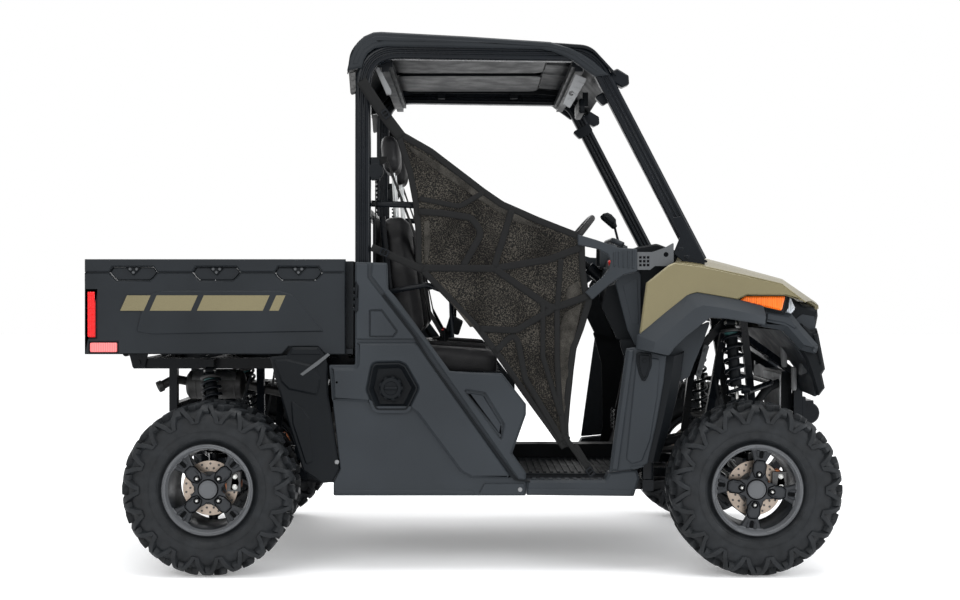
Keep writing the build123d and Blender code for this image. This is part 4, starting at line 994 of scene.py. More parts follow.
def hood():
    """Crowned hood with a raised middle, on its own body."""
    columns, rows, half = 36, 40, 400
    points, faces = [], []
    for r in range(rows + 1):
        t = r / rows
        x, z = along_line(HOOD_EDGE, t)
        for c in range(columns + 1):
            y = -half + 2 * half * c / columns
            w = abs(y) / half
            crown = 13 * (1 - w ** 2.2)
            bulge = 9 * smooth_step((0.60 - w) / 0.14) * smooth_step((0.94 - t) / 0.12)
            nose = 16 * (1 - w * w) * smooth_step((t - 0.72) / 0.28)
            points.append((x + nose * 0.7, y, z + crown + bulge))
    for r in range(rows):
        for c in range(columns):
            a = r * (columns + 1) + c
            faces.append((a, a + 1, a + columns + 2, a + columns + 1))
    shape = Shape().add(points, faces)
    base = len(shape.points)
    across = columns + 1
    rim = [r * across for r in range(rows + 1)]
    rim += [rows * across + c for c in range(1, across)]
    rim += [r * across + columns for r in range(rows - 1, -1, -1)]
    for k in rim:
        x, y, z = shape.points[k]
        shape.points.append((x - 3, y * 0.995, z - 20))
    for k in range(len(rim) - 1):
        shape.faces.append((rim[k], rim[k + 1], base + k + 1, base + k))
    thick(piece("hood_skin", shape, KHAKI, body="hood", hides=["hood"], angle=40), 4)
    hinges = Shape()
    for side in (RIGHT, LEFT):
        hinges.join(rod((812, side * 232, 1140), (812, side * 308, 1140), 7, 20))
        hinges.join(block((812, side * 270 - 24, 1136), (846, side * 270 + 24, 1144)))
    piece("hood_hinges", hinges, POWDER, body="hood", bevel=1)


def along_line(line, share):
    """Point part of the way along a line of X-Z points, by X."""
    x = line[0][0] + (line[-1][0] - line[0][0]) * share
    for (x0, z0), (x1, z1) in zip(line, line[1:]):
        if x <= x1 + 1e-6:
            return x, z0 + (z1 - z0) * (x - x0) / (x1 - x0)
    return line[-1]


def smooth_step(t):
    t = max(0.0, min(1.0, t))
    return t * t * (3 - 2 * t)


# ------------------------------------------------------------------ roof, cage and nose
CAGE_Y = 580                 # pillar centre lines
PILLAR_X = -385
ROOF_OUTER = [(-441, 1828), (-430, 1878), (-410, 1920), (-380, 1952), (-345, 1967), (-318, 1969), (0, 1952),
              (300, 1932), (370, 1913), (420, 1887), (458, 1862), (516, 1811)]
ROOF_INNER = [(464, 1806), (420, 1838), (385, 1864), (350, 1881), (310, 1897), (270, 1906), (0, 1911),
              (-300, 1916), (-340, 1909), (-366, 1890), (-380, 1866), (-388, 1838)]
ROOF_TOP = [(-440, 1828), (-430, 1900), (-385, 1956), (-322, 1967), (336, 1930), (449, 1922), (541, 1822)]
ROOF_RIB = [(-325, 1960), (336, 1924), (440, 1914), (530, 1826), (520, 1816), (430, 1896), (310, 1906),
            (-315, 1912), (-352, 1896), (-400, 1846), (-412, 1856)]


def roof():
    """Moulded roof: crowned sheet, side bands, ribs underneath and fittings."""
    line = bent([(x, 0, z) for x, z in ROOF_TOP], 90, steps=6)
    stations = [(-618, -14), (-614, -4), (-604, 0), (-440, 0), (-424, 8), (-414, 10), (-140, 10), (-128, 4),
                (-112, 4), (-100, 10), (0, 11)]
    stations += [(-y, rise) for y, rise in reversed(stations[:-1])]
    sheet = []
    for y, rise in stations:
        high = [rise if rise < 0 else rise * smooth_step((p.x + 350) / 30) * smooth_step((460 - p.x) / 30)
                for p in line]
        sheet.append([(p.x, y, p.z + h) for p, h in zip(line, high)])
    thick(piece("roof_sheet", rails(*sheet), DARK, hides=["roof"], angle=36), 4)
    shape = panel(ROOF_OUTER + ROOF_INNER, 592, 621, edge=6)
    shape.join(panel(inset(ROOF_OUTER + ROOF_INNER, 15), 619, 623, edge=4))
    piece("roof_bands", shape.mirrored(), BED, "black_plastic", bevel=2)
    under = Shape()
    for y in (-500, 500):
        under.join(upright(slab(ROOF_RIB, y - 4, y + 4)))
    for y in (-250, 250):
        under.join(slab(rounded(rect(-300, y - 220, 310, y + 220), 60), 1912, 1922, edge=6, foot=8))
    for x in (-120, 205):
        for y in (-520, 520):
            under.join(block((x - 16, y - 12, 1888), (x + 16, y + 12, 1912)))
    piece("roof_ribs", under, DARK, bevel=1.5)


PROFILE = [(28, 18), (25, 25), (18, 28), (12, 28), (10, 24), (4, 24), (2, 28), (-2, 28), (-4, 24),
           (-10, 24), (-12, 28), (-18, 28), (-25, 25), (-28, 18)]
PROFILE = PROFILE + [(a, -b) for a, b in reversed(PROFILE)]


def square_section(half, edge):
    """Square tube section with broken corners."""
    return rounded(rect(half, half, -half, -half), edge, steps=2)


def cage():
    """Roll cage of ribbed profile, with legs, cross tubes, plates, clamps and gussets."""
    tubes, plates = Shape(), Shape()
    y = -CAGE_Y
    tubes.join(swept(bent([(PILLAR_X, y, 332), (PILLAR_X, y, 1904), (455, y, 1892), (850, y, 1131)], 135,
                          steps=10), PROFILE, up=ACROSS))
    tubes.join(swept(bent([(846, y, 1134), (700, y, 760), (660, y, 420), (660, y, 332)], 120),
                     square_section(20, 6), up=ACROSS))
    for z in (900, 1320):
        tubes.join(swept([(PILLAR_X, y, z), (PILLAR_X, 0, z)], square_section(17, 8)))
    tubes.join(swept([(738, y, 860), (738, 0, 860)], square_section(16, 6)))
    piece("cage_tubes", tubes.mirrored(), POWDER, "frame_paint", hides=["cage"], angle=50, bevel=1)
    foot = [(790, 1126), (874, 1126), (878, 1132), (866, 1138), (778, 1296), (748, 1290), (776, 1220),
            (752, 1160)]
    plates.join(panel(foot, 604, 611, edge=2, corner=4))
    plates.join(block((800, -612, 1118), (866, -550, 1128)))
    plates.join(panel(rect(PILLAR_X - 34, 340, PILLAR_X + 34, 352), 548, 612, edge=1))
    for x, z in ((778, 1176), (800, 1146)):
        plates.join(bolt((x, -611, z), OUTWARD, 7, 5))
    clamp = rounded([(524, 1826), (548, 1838), (590, 1812), (592, 1780), (566, 1768), (528, 1790)], 8)
    plates.join(panel(clamp, 556, 600, edge=5))
    plates.join(panel([(468, 1740), (540, 1778), (560, 1745), (500, 1708)], 520, 556, edge=5, corner=10))
    piece("cage_plates", plates.mirrored(), POWDER, "frame_paint", bevel=1)
    clamps = Shape()
    clamps.join(panel([(-436, 1822), (-410, 1828), (-406, 1752), (-430, 1742)], 574, 604, edge=4, corner=6))
    for z in (1800, 1768):
        clamps.join(bolt((-422, -604, z), OUTWARD, 7, 5))
    piece("pillar_clamps", clamps.mirrored(), CAST, bevel=1)
    dress("roof_headers", DARK)
    shape = panel([(-356, 1875), (-338, 1871), (-285, 1768), (-285, 1751), (-302, 1751)], 520, 545, edge=2,
                  corner=3)
    hole = circle(384, 1757, 9, 14)
    front = [(400, 1829), (443, 1811), (379, 1702), (353, 1719)]
    shape.join(panel(front, 520, 532, edge=2, corner=5, holes=[hole]))
    for k in range(4):
        x, z = 410 - 12 * k, 1800 - 20 * k
        shape.join(panel([(x, z), (x + 22, z - 10), (x + 20, z - 14), (x - 2, z - 4)], 531, 534, edge=0.5))
    piece("header_brackets", shape, TRIM, bevel=1)


LAMP_SURROUND = [(1160, 1000), (1206, 1000), (1240, 972), (1300, 952), (1302, 930), (1294, 890),
                 (1278, 868), (1192, 884), (1150, 940)]
HEADLAMP = [(1165, 1000), (1195, 997), (1212, 958), (1190, 929), (1170, 936), (1162, 966)]
INDICATOR = [(990, 985), (1014, 1003), (1160, 1003), (1147, 950)]
TUSK = [(1232, 904), (1268, 876), (1290, 886), (1298, 858), (1322, 734), (1310, 714), (1321, 664),
        (1300, 636), (1290, 636), (1266, 720), (1248, 770), (1222, 812), (1212, 850)]


def nose():
    """Front fascia, lamps and the liners behind the cowls."""
    liner = [(640, 862), (652, 1036), (1150, 1036), (1180, 1000), (1176, 960), (1140, 908), (1068, 902),
             (930, 934), (862, 934), (740, 850), (650, 828)]
    dark = panel(liner, 590, 598, edge=2)
    dark.join(panel(LAMP_SURROUND, 404, 532, edge=10, corner=6))
    dark.join(panel(TUSK, 544, 560, edge=9, corner=3))
    dark.join(panel([(1272, 862), (1290, 866), (1312, 752), (1300, 748)], 558, 566, edge=4, corner=4))
    dark.join(block((1196, -404, 900), (1318, 0, 962)))
    piece("nose_panels", dark.mirrored(), DARK, bevel=2)
    cheek = panel([(1075, 958), (1144, 946), (1190, 940), (1226, 894), (1290, 822), (1282, 790),
                   (1222, 806), (1160, 876), (1075, 893)], 544, 600, edge=20, corner=5)
    cheek.join(panel([(1090, 948), (1140, 938), (1180, 932), (1212, 890), (1200, 876), (1160, 900),
                      (1090, 912)], 596, 604, edge=8, corner=6))
    piece("fascia_cheeks", cheek.mirrored(), PANEL, bevel=1.5)
    nose_shell()
    covers = panel(INDICATOR, 560, 618, edge=5, corner=[2, 6, 5, 8])
    for k in range(6):
        x = 1034 + 19 * k
        covers.join(panel([(x, 996), (x + 7, 996), (x + 7, 966), (x, 968)], 616, 619, edge=1))
    piece("indicator_lenses", covers.mirrored(), AMBER, "lamp_amber", hides=["indicator_lamps"], bevel=1)
    bezel = inset(INDICATOR, -7)
    piece("indicator_bezels", panel(bezel, 556, 612, edge=3, corner=3).mirrored(), DARK, bevel=0.8)
    shape = panel(HEADLAMP, 480, 560, edge=12, corner=6)
    piece("headlamp_lenses", shape.mirrored(), CLEAR, hides=["headlamps"], bevel=1.5)
    piece("headlamp_bezels", panel(inset(HEADLAMP, -8), 470, 546, edge=5, corner=4).mirrored(), DARK,
          bevel=1)
    mesh = Shape()
    for k in range(15):
        y = -280 + 40 * k
        mesh.join(rod((face_x(762) + 4, y, 762), (face_x(848) + 4, y, 848), 3, 6, 0))
    piece("grille_bars", mesh, POWDER, "black_plastic")


NOSE_HALF, NOSE_PULL, NOSE_POWER = 536, 26, 2.4
FACE_X, FACE_Z = 1318, 858           # top of the sloping face
FACE_OUT, FACE_DROP = 28, 131        # how far out it comes over how much of a drop


def nose_pull(y):
    """How far the nose's face falls back towards its sides."""
    return NOSE_PULL * (abs(y) / NOSE_HALF) ** NOSE_POWER


def face_x(z):
    return FACE_X + FACE_OUT * (FACE_Z - z) / FACE_DROP


def face_patch(low, high, y0, y1, proud=1.5, count=9):
    """Strip on the nose's face between the heights low and high, each (at y0, at y1)."""
    lines = []
    for z0, z1 in (low, high):
        line = []
        for k in range(count):
            t = k / (count - 1)
            y, z = y0 + (y1 - y0) * t, z0 + (z1 - z0) * t
            line.append((face_x(z) - nose_pull(y) + proud, y, z))
        lines.append(line)
    return rails(*lines)


def nose_shell():
    """Curved front face with its grille slots drawn as painted-shade strips, lamp windows and corner pads.
    """
    middle_line = [(1160, 876), (1240, 936), (1312, 928), (1318, 858), (1342, 750), (1264, 750),
                   (1222, 805)]
    corner_line = [(1160, 876), (1240, 936), (1312, 928), (1318, 858), (1346, 727), (1326, 711),
                   (1341, 658), (1318, 631), (1310, 631), (1283, 723), (1222, 805)]
    shell = Shape()
    for line, y0, y1, count in ((middle_line, -233, 233, 17), (corner_line, -536, -233, 13),
                                (corner_line, 233, 536, 13)):
        rings = []
        for k in range(count):
            y = y0 + (y1 - y0) * k / (count - 1)
            rings.append([(x - nose_pull(y) * (x > 1300), y, z) for x, z in line])
        shell.join(skin(rings))
    piece("nose_shell", shell, PANEL, hides=["front_fascia"], bevel=2, angle=24)
    slots, pads, lamps = Shape(), Shape(), Shape()
    # the grille slots are not cut: dark strips on the face are painted shade for them
    for z in (770, 805, 840):
        slots.join(face_patch((z - 9, z - 9), (z + 9, z + 9), -300, 300))
    slots.join(face_patch((868, 880), (926, 922), -530, -262))
    slots.join(face_patch((880, 868), (922, 926), 262, 530))
    lamps.join(face_patch((874, 886), (920, 916), -518, -278, 5))
    lamps.join(face_patch((886, 874), (916, 920), 278, 518, 5))
    for y0, y1, low, high in ((-508, -330, (742, 756), (848, 848)), (330, 508, (756, 742), (848, 848)),
                              (-500, -262, (664, 664), (700, 700)), (262, 500, (664, 664), (700, 700))):
        pads.join(face_patch(low, high, y0, y1, 3 if high[0] > 800 else -14))
    thick(piece("nose_slots", slots, DARK), 2, 1.0)
    thick(piece("nose_lamp_windows", lamps, CLEAR), 3, 1.0)
    thick(piece("nose_pads", pads, DARK), 4, 1.0)
    ribs = Shape()
    for k in range(5):
        for side in (RIGHT, LEFT):
            y = side * (350 + 34 * k)
            ribs.join(face_patch((752, 752), (838, 838), y - 3, y + 3, 6, 2))
    thick(piece("nose_pad_ribs", ribs, PANEL, "black_plastic"), 3, 1.0)


PLAIN_NODES = (
    # node, material, bevel
    ("frame", POWDER, 2.5), ("skid_plate", DARK, 1.5), ("front_arms", POWDER, 2), ("rear_arms", POWDER, 2),
    ("knuckle_right", CAST, 1.5), ("knuckle_left", CAST, 1.5), ("rear_uprights", CAST, 1.5),
    ("steering_rack", STEEL, 0.8), ("steering_gear", CAST, 1), ("driveline", CAST, 4),
    ("drive_axles", CAST, 1), ("floor_tub", DARK, 2), ("rear_wall", DARK, 1),
    ("steering_column", POWDER, 1), ("engine_block", CAST, 5), ("radiator", DARK, 1.5),
    ("hitch", POWDER, 1.5),
)


def plain_nodes():
    """Castings, tubes and plates that keep their CAD shape."""
    for node, material, bevel in PLAIN_NODES:
        dress(node, material, bevel)


# ------------------------------------------------------------------ cargo bed
BED_X = (-1399, -448)
BED_Z = (791, 1138)
POCKETS = [(-1303, -1142), (-999, -839), (-699, -539)]
BED_NOTCH = [(-680, 791), (-655, 819), (-548, 819), (-520, 791)]
TAIL_LAMP = rect(-1394, 1025, -1356, 849)
REFLECTOR = rect(-1383, 837, -1277, 795)
EMBOSS = [(-1120, 1024), (-1180, 1010), (-1212, 872), (-1150, 862), (-524, 872), (-640, 1010), (-690, 1024)]
STRIPES = ((-1268, 86), (-1160, 150), (-988, 240), (-724, 34))   # rear end, length
STRIPE_Z = (950, 1006)
STRIPE_LEAN = 0.45           # how far the painted stripes lean, per mm of height


def bed_pocket(x0, x1):
    """Stake pocket outline with its sloped shoulders, on the rail line."""
    return [(x0 - 8, 1090), (x0 + 6, 1110), (x1 - 6, 1110), (x1 + 8, 1090), (x1 - 6, 1072), (x1 - 20, 1060),
            (x0 + 20, 1060), (x0 + 6, 1072)]


def cargo_bed():
    """Moulded bed: upper rail, sides with pockets and a raised field, ribbed floor and front."""
    (x0, x1), (z0, z1) = BED_X, BED_Z
    pockets = [bed_pocket(*pair) for pair in POCKETS]
    wall = [(x0, z0), (x0, z1), (x1, z1), (x1, z0), *reversed(BED_NOTCH)]
    lamps = [inset(TAIL_LAMP, -1), inset(REFLECTOR, -1)]
    side_wall = panel(wall, 588, 611, edge=1, holes=[*pockets, *lamps])
    rail_edge = [(x0, 1092), (x0, z1), (x1, z1), (x1, 1092)]
    for a, b in reversed(POCKETS):
        rail_edge += [(b + 9, 1092), (b - 5, 1112), (a + 5, 1112), (a - 9, 1092)]
    cut = []
    for a, b in POCKETS:
        cut += [(a - 11, 1087), (a + 4, 1070), (a + 19, 1057), (b - 19, 1057), (b - 4, 1070),
                (b + 11, 1087)]
    low_edge = [(x0, z0), (x0, 1087), *cut, (x1, 1087), (x1, z0), *reversed(BED_NOTCH)]
    side_wall.join(panel(rail_edge, 609, 620, edge=4))
    side_wall.join(panel(low_edge, 609, 619, edge=3, holes=lamps))
    side_wall.join(panel(EMBOSS, 617, 623, edge=5, corner=[20, 22, 10, 6, 4, 22, 26]))
    for outline in pockets:
        side_wall.join(panel(inset(outline, 3), 590, 604, edge=2))
    side_wall.join(block((-700, -600, z0 + 16), (-500, -586, z0 + 42)))
    shape = side_wall.mirrored()
    shape.join(block((x0 + 30, -588, z0), (x1 + 26, 588, z0 + 18)))
    for k in range(13):
        y = -540 + 90 * k
        shape.join(slab_at([(y - 22, 808), (y - 14, 817), (y + 14, 817), (y + 22, 808)], x0 + 36, x1 - 12))
    shape.join(block((x1 - 10, -614, z0), (x1 - 2, 614, z1 - 6)))
    shape.join(block((x1 - 4, -566, z0), (x1 + 26, 566, z1 - 6)))
    for k in range(9):
        y = -520 + 130 * k
        shape.join(block((x1 - 14, y - 20, 830), (x1 - 8, y + 20, 1100)))
        shape.join(block((x1 + 24, y - 12, 800), (x1 + 30, y + 12, 1120)))
    for y in (-604, 604):
        shape.join(block((x0 + 4, y - 16, z1 - 4), (x1 - 2, y + 16, z1)))
    piece("bed_shell", shape, BED, body="bed", hides=["cargo_bed"], bevel=1.5, angle=30)
    studs, relief = Shape(), Shape()
    for a, b in POCKETS:
        middle_x = (a + b) / 2
        relief.join(panel([(middle_x - 30, 1109), (middle_x + 30, 1109), (middle_x, 1078)], 602, 613,
                          edge=3, corner=3))
        for dx, dz in ((-12, 1102), (12, 1102), (0, 1090)):
            studs.join(bolt((middle_x + dx, -612, dz), OUTWARD, 4, 3))
    relief.join(panel([(x0 - 2, 1052), (x0 + 10, 1058), (x0 + 10, 1094), (x0 - 2, 1088)], 600, 612, edge=2))
    for k in range(3):
        relief.join(rod((-1322 + 150 * k, -330, 782), (-1322 + 150 * k, -250, 782), 12, 12, 2))
    piece("pocket_reliefs", relief.mirrored(), DARK, body="bed", bevel=1)
    piece("pocket_screws", studs.mirrored(), GREY, body="bed")
    ears = Shape()
    for y in (-366, 366):
        ears.join(upright(slab(rounded([(-1284, 726), (-1240, 726), (-1224, 791), (-1300, 791)], 12),
                               y - 5, y + 5)))
    piece("bed_ears", ears, POWDER, "frame_paint", body="bed", bevel=1)
    stripes = Shape()
    low, high = STRIPE_Z
    lean = STRIPE_LEAN * (high - low)
    for start, length in STRIPES:
        stripes.join(panel([(start, low), (start + length, low), (start + length + lean, high),
                            (start + lean, high)], 619, 623.6, edge=0))
    piece("bed_stripes", stripes.mirrored(), KHAKI, body="bed")


def slab_at(outline, x0, x1):
    """Prism of a Y-Z outline between two X positions."""
    return skin([[(x, y, z) for y, z in outline] for x in (x0, x1)])


def tail_lamps():
    """Side of the tail lamps with their frames."""
    shape = panel(inset(TAIL_LAMP, 4), 601, 620, edge=3, corner=4)
    for k in range(7):
        z = 862 + 24 * k
        shape.join(panel(rect(-1388, z, -1362, z + 12), 618, 621, edge=1))
    piece("tail_lamp_lenses", shape.mirrored(), RED, "lamp_red", body="bed", hides=["tail_lamps"], bevel=1)
    piece("reflector_lenses", panel(inset(REFLECTOR, 4), 603, 620, edge=2, corner=5).mirrored(), PALE_RED,
          "lamp_red", body="bed", bevel=1)
    rims = panel(inset(TAIL_LAMP, -3), 596, 615, edge=1, holes=[inset(TAIL_LAMP, 4)])
    rims.join(panel(inset(REFLECTOR, -2), 596, 615, edge=1, holes=[inset(REFLECTOR, 4)]))
    rims.join(panel(TAIL_LAMP, 592, 600)).join(panel(REFLECTOR, 592, 600))
    piece("tail_lamp_frames", rims.mirrored(), DARK, body="bed", bevel=0.8)


def tailgate():
    """Tailgate with a recessed field, ribs, handle and hinge pins."""
    half, x, t = 582, -1399, 27
    z0, z1 = 801, 1130
    shape = block((x + 4, -half, z0), (x + t, half, z1))
    outer = rect(-half, z0, half, z1)
    field = rounded(rect(-480, 872, 480, 1058), 18)

    def across(outline, low, high, edge=0, holes=()):
        return facing(slab(outline, low, high, edge, holes=holes), x + 8, -1)

    shape.join(across(rounded(outer, 8), 0, 8, 3, [field]))
    for k in range(5):
        y = -384 + 192 * k
        shape.join(across(rounded([(y - 78, 886), (y + 78, 886), (y + 66, 1044), (y - 66, 1044)], 12), 2,
                          6, 3))
    piece("tailgate_shell", shape, BED, body="tailgate", hides=["tailgate"], bevel=1.5)
    grip = across(rounded([(-90, 1060), (90, 1060), (80, 1100), (-80, 1100)], 10), 6, 14, 3)
    grip.join(across(rounded([(-60, 1070), (60, 1070), (56, 1088), (-56, 1088)], 6), 13, 17, 2))
    piece("tailgate_handle", grip, DARK, body="tailgate", bevel=1)
    pins = Shape()
    for y in (-560, 560):
        pins.join(rod((-1390, y - 18, 810), (-1390, y + 18, 810), 9, 20))
    piece("tailgate_hinge_barrels", pins, ZINC, body="tailgate")


# ------------------------------------------------------------------ side nets
NET_UPPER = [(-250, 1597), (-134, 1531), (-15, 1440), (54, 1387), (125, 1338), (250, 1283), (415, 1218)]
NET_RIGHT = [(418, 1100), (428, 1028), (444, 990), (412, 884), (385, 813), (375, 735), (363, 617),
             (356, 532), (359, 452)]
NET_LEFT = [(-253, 1590), (-211, 1458), (-190, 1346), (-180, 1234), (-180, 1122)]
NET_LOWER = [(-171, 1104), (-117, 1048), (33, 891), (118, 780), (209, 649), (294, 532), (352, 449)]
NET_SINGLES = (                      # where one layer of mesh lets the light through
    ([(-221, 1558), (-99, 1485), (6, 1411), (110, 1342), (194, 1293), (264, 1256)],
     [(-204, 1530), (-99, 1450), (6, 1380), (110, 1310), (180, 1272), (264, 1251)]),
    ([(-159, 1277), (-160, 1204), (-158, 1125)], [(-141, 1277), (-135, 1204), (-147, 1125)]),
    ([(-113, 1046), (8, 890)], [(-96, 1046), (40, 893)]),
    ([(354, 942), (338, 898), (333, 800), (333, 702), (338, 605), (345, 551)],
     [(416, 978), (401, 898), (384, 833), (374, 735), (364, 618), (357, 551)]),
    ([(364, 1035), (352, 976)], [(406, 1061), (412, 1010)]),
    ([(222, 663), (286, 551)], [(234, 658), (300, 551)]),
)
NET_BANDS = (
    # points in X and Z, width
    ([(-176, 1106), (98, 1104), (300, 1138), (410, 1180)], 26),
    ([(-182, 1312), (-90, 1306), (13, 1290), (52, 1235), (-18, 1112)], 24),
    ([(160, 1318), (96, 1108)], 24),
    ([(96, 1104), (307, 957), (440, 1004)], 26),
    ([(310, 957), (176, 878), (44, 884)], 24),
    ([(340, 1138), (326, 952), (326, 767), (336, 604), (357, 462)], 20),
    ([(100, 800), (176, 878), (209, 702), (346, 472)], 22),
    ([(274, 978), (274, 781), (340, 566)], 18),
    ([(60, 1384), (-30, 1330), (-178, 1360)], 18),
)
FASTENER = [(400, 1229), (470, 1208), (552, 1180), (618, 1176), (618, 1094), (570, 1082), (520, 1048),
            (454, 990), (428, 1018), (486, 1068), (514, 1100), (522, 1130), (512, 1156), (478, 1174),
            (402, 1190)]
NET_BRACKET = [(612, 1164), (673, 1164), (717, 1179), (752, 1199), (752, 1112), (684, 1113), (666, 1099),
               (612, 1099)]


NET_Y, NET_SLACK, NET_RIPPLE = 614, 2.6, 1.4
SLACK_X, SLACK_Z, RIPPLE_SPAN = 47, 61, 23   # mm for each radian of the waves


def net_y(x, z):
    """How far out the net hangs: a slack, slightly rippled sheet."""
    slack = NET_SLACK * sin(x / SLACK_X) * cos(z / SLACK_Z)
    return NET_Y + slack + NET_RIPPLE * sin((x + z) / RIPPLE_SPAN)


def spaced(points, count):
    """Evenly spaced points along a line of X-Z points."""
    lengths = [0]
    for a, b in zip(points, points[1:]):
        lengths.append(lengths[-1] + (Vector(b) - Vector(a)).length)
    result, k = [], 0
    for s in range(count):
        at = lengths[-1] * s / (count - 1)
        while k < len(points) - 2 and at > lengths[k + 1]:
            k += 1
        t = (at - lengths[k]) / (lengths[k + 1] - lengths[k])
        result.append(tuple(Vector(points[k]).lerp(Vector(points[k + 1]), t)))
    return result


def part_way(first, last, t):
    """Points a share t of the way from one line to the other."""
    return [tuple(Vector(a).lerp(Vector(b), t)) for a, b in zip(first, last)]


def ribbon(points, width, lift):
    """Webbing that lies on the net: its edges, a little way out of it."""
    path = [(p.x, p.z) for p in bent([(x, 0, z) for x, z in points], 40, steps=5)]
    count = max(8, int(sum((Vector(b) - Vector(a)).length for a, b in zip(path, path[1:])) / 12))
    path = spaced(path, count)
    rows, half = [], width / 2
    for k, (x, z) in enumerate(path):
        before, after = Vector(path[max(k - 1, 0)]), Vector(path[min(k + 1, count - 1)])
        along = (after - before).normalized()
        rows.append([(x - along.y * s * half, -net_y(x, z) - lift + 0.7 * abs(s), z + along.x * s * half)
                     for s in (-1, -0.4, 0.4, 1)])
    return rails(*rows)


def side_nets():
    """Mesh nets in the door openings, with hems, webbing, fasteners and anchors."""
    top, low = spaced(NET_UPPER + NET_RIGHT, 90), spaced(NET_LEFT + NET_LOWER, 90)
    rows = []
    for s in range(27):
        t = s / 26
        rows.append([(x, -net_y(x, z), z) for x, z in part_way(top, low, t)])
    for side, name in ((RIGHT, "right"), (LEFT, "left")):
        flip = Matrix.Scale(-1 if side == LEFT else 1, 4, (0, 1, 0))
        hems, bands = Shape(), Shape()
        for line, width in ((NET_UPPER + NET_RIGHT, 24), (NET_LEFT + NET_LOWER, 22)):
            hems.join(ribbon(line, width, 1.6), flip)
        for line, width in NET_BANDS:
            bands.join(ribbon(line, width, 3.0), flip)
        for line, width in (([(-389, 1790), (-316, 1680), (-244, 1585)], 40),
                            ([(-352, 1182), (-300, 1160), (-165, 1100)], 28),
                            ([(350, 494), (452, 356)], 20), ([(392, 462), (452, 366)], 18)):
            bands.join(ribbon(line, width, 4.0), flip)
        hem = thick(piece(f"net_hem_{name}", hems, BELT, angle=60), 1.6, 1.0)
        band = thick(piece(f"net_webbing_{name}", bands, BELT, angle=60), 1.6, 1.0)
        sheet = Shape().join(rails(*rows), flip)
        single = Shape()
        for first, second in NET_SINGLES:
            a, b = spaced(first, 14), spaced(second, 14)
            lines = [[(x, -net_y(x, z) - 1.8, z) for x, z in part_way(a, b, t)]
                     for t in (0, 0.25, 0.5, 0.75, 1)]
            single.join(rails(*lines), flip)
        hides = ["side_nets"] if side == RIGHT else []
        mesh = thick(piece(f"net_mesh_{name}", sheet, NET, "net_fabric", hides=hides, angle=60), 1.4, 0.0)
        # paler strips: painted light coming through one layer of mesh
        folds = thick(piece(f"net_single_{name}", single, NET_SINGLE, "net_fabric", angle=60), 0.6, 1.0)
    fastener = panel(rounded(FASTENER, [2, 10, 14, 5, 5, 16, 16, 3, 3, 10, 12, 14, 14, 12, 2]), 612, 624,
                     edge=3)
    for k in range(5):
        x, reach = 532 + 17 * k, 27 + 2 * k
        fastener.join(panel(rect(x, 1138 - reach, x + 6, 1138 + reach), 622, 628, edge=2))
    piece("net_fasteners", fastener.mirrored(), PANEL, "black_plastic", bevel=0.8)
    hole = circle(724, 1155, 9, 16)
    vents = [[(626 + 14 * i, 1112 + 14 * j), (635 + 14 * i, 1112 + 14 * j), (635 + 14 * i, 1121 + 14 * j),
              (626 + 14 * i, 1121 + 14 * j)] for i in range(3) for j in range(3)]
    bracket = panel(rounded(NET_BRACKET, 4), 612, 617, edge=1, holes=[hole, *vents])
    piece("net_brackets", bracket.mirrored(), GREY, "frame_paint", bevel=0.5)
    buckles = Shape()
    for x, z, turn in ((447, 362, -53), (-305, 1163, -24), (-300, 1668, -55)):
        frame_outline = rect(-17, -13, 17, 13)
        opening = rect(-10, -8, 10, 8)
        plate = slab(rounded(frame_outline, 4), 0, 5, edge=1, holes=[rounded(opening, 2)])
        plate.join(block((-2, -9, 1), (2, 9, 6)))
        spin = Matrix.Rotation(radians(turn), 4, "Z")
        turned_plate = Shape().join(plate, spin)
        buckles.add([(x + a, -620 - h, z + b) for a, b, h in turned_plate.points], turned_plate.faces)
    piece("net_buckles", buckles.mirrored(), POWDER, bevel=0.6)


# ------------------------------------------------------------------ seats
SEAT_IN, SEAT_SIDE = 62, 508         # inner and outer edges of each seat
BACK_LEAN = radians(8)
PAD_VOXEL, QUICK_VOXEL = 0.010, 0.012     # metres


def cloth_pad(name, shape, material, hides, cap):
    """Foam pad: remeshed, swollen with cloth pressure, its movement capped, then smoothed."""
    obj = piece(name, shape, material, "seat_cover", hides=hides, angle=180)
    for poly in obj.data.polygons:
        poly.use_smooth = True
    remesh = obj.modifiers.new("voxels", "REMESH")
    remesh.mode, remesh.voxel_size = "VOXEL", PAD_VOXEL
    apply_modifiers(obj)
    start = [v.co.copy() for v in obj.data.vertices]
    cloth = obj.modifiers.new("cloth", "CLOTH")
    cloth.settings.use_pressure, cloth.settings.uniform_pressure_force = True, 4
    cloth.settings.effector_weights.gravity = 0
    cloth.settings.quality = 4
    scene = bpy.context.scene
    for frame_number in range(1, 21):
        scene.frame_set(frame_number)
    apply_modifiers(obj)
    scene.frame_set(1)
    for v, before in zip(obj.data.vertices, start):
        move = v.co - before
        if move.length > cap * MM:
            v.co = before + move.normalized() * cap * MM
    relax = obj.modifiers.new("relax", "SMOOTH")
    relax.factor, relax.iterations = 0.5, 6
    sub = obj.modifiers.new("rounding", "SUBSURF")
    sub.levels = sub.render_levels = 1


def apply_modifiers(obj):
    """Replaces an object's mesh by what its modifiers make of it."""
    graph = bpy.context.evaluated_depsgraph_get()
    mesh = bpy.data.meshes.new_from_object(obj.evaluated_get(graph))
    obj.modifiers.clear()
    obj.data = mesh


def cushion(low, high, edge):
    """Block with generously broken edges, the start of a foam pad."""
    (x0, y0, z0), (x1, y1, z1) = low, high
    outline = rounded(rect(x0, y0, x1, y1), edge, steps=3)
    return slab(outline, z0, z1, edge=edge * 0.5, foot=edge * 0.25)


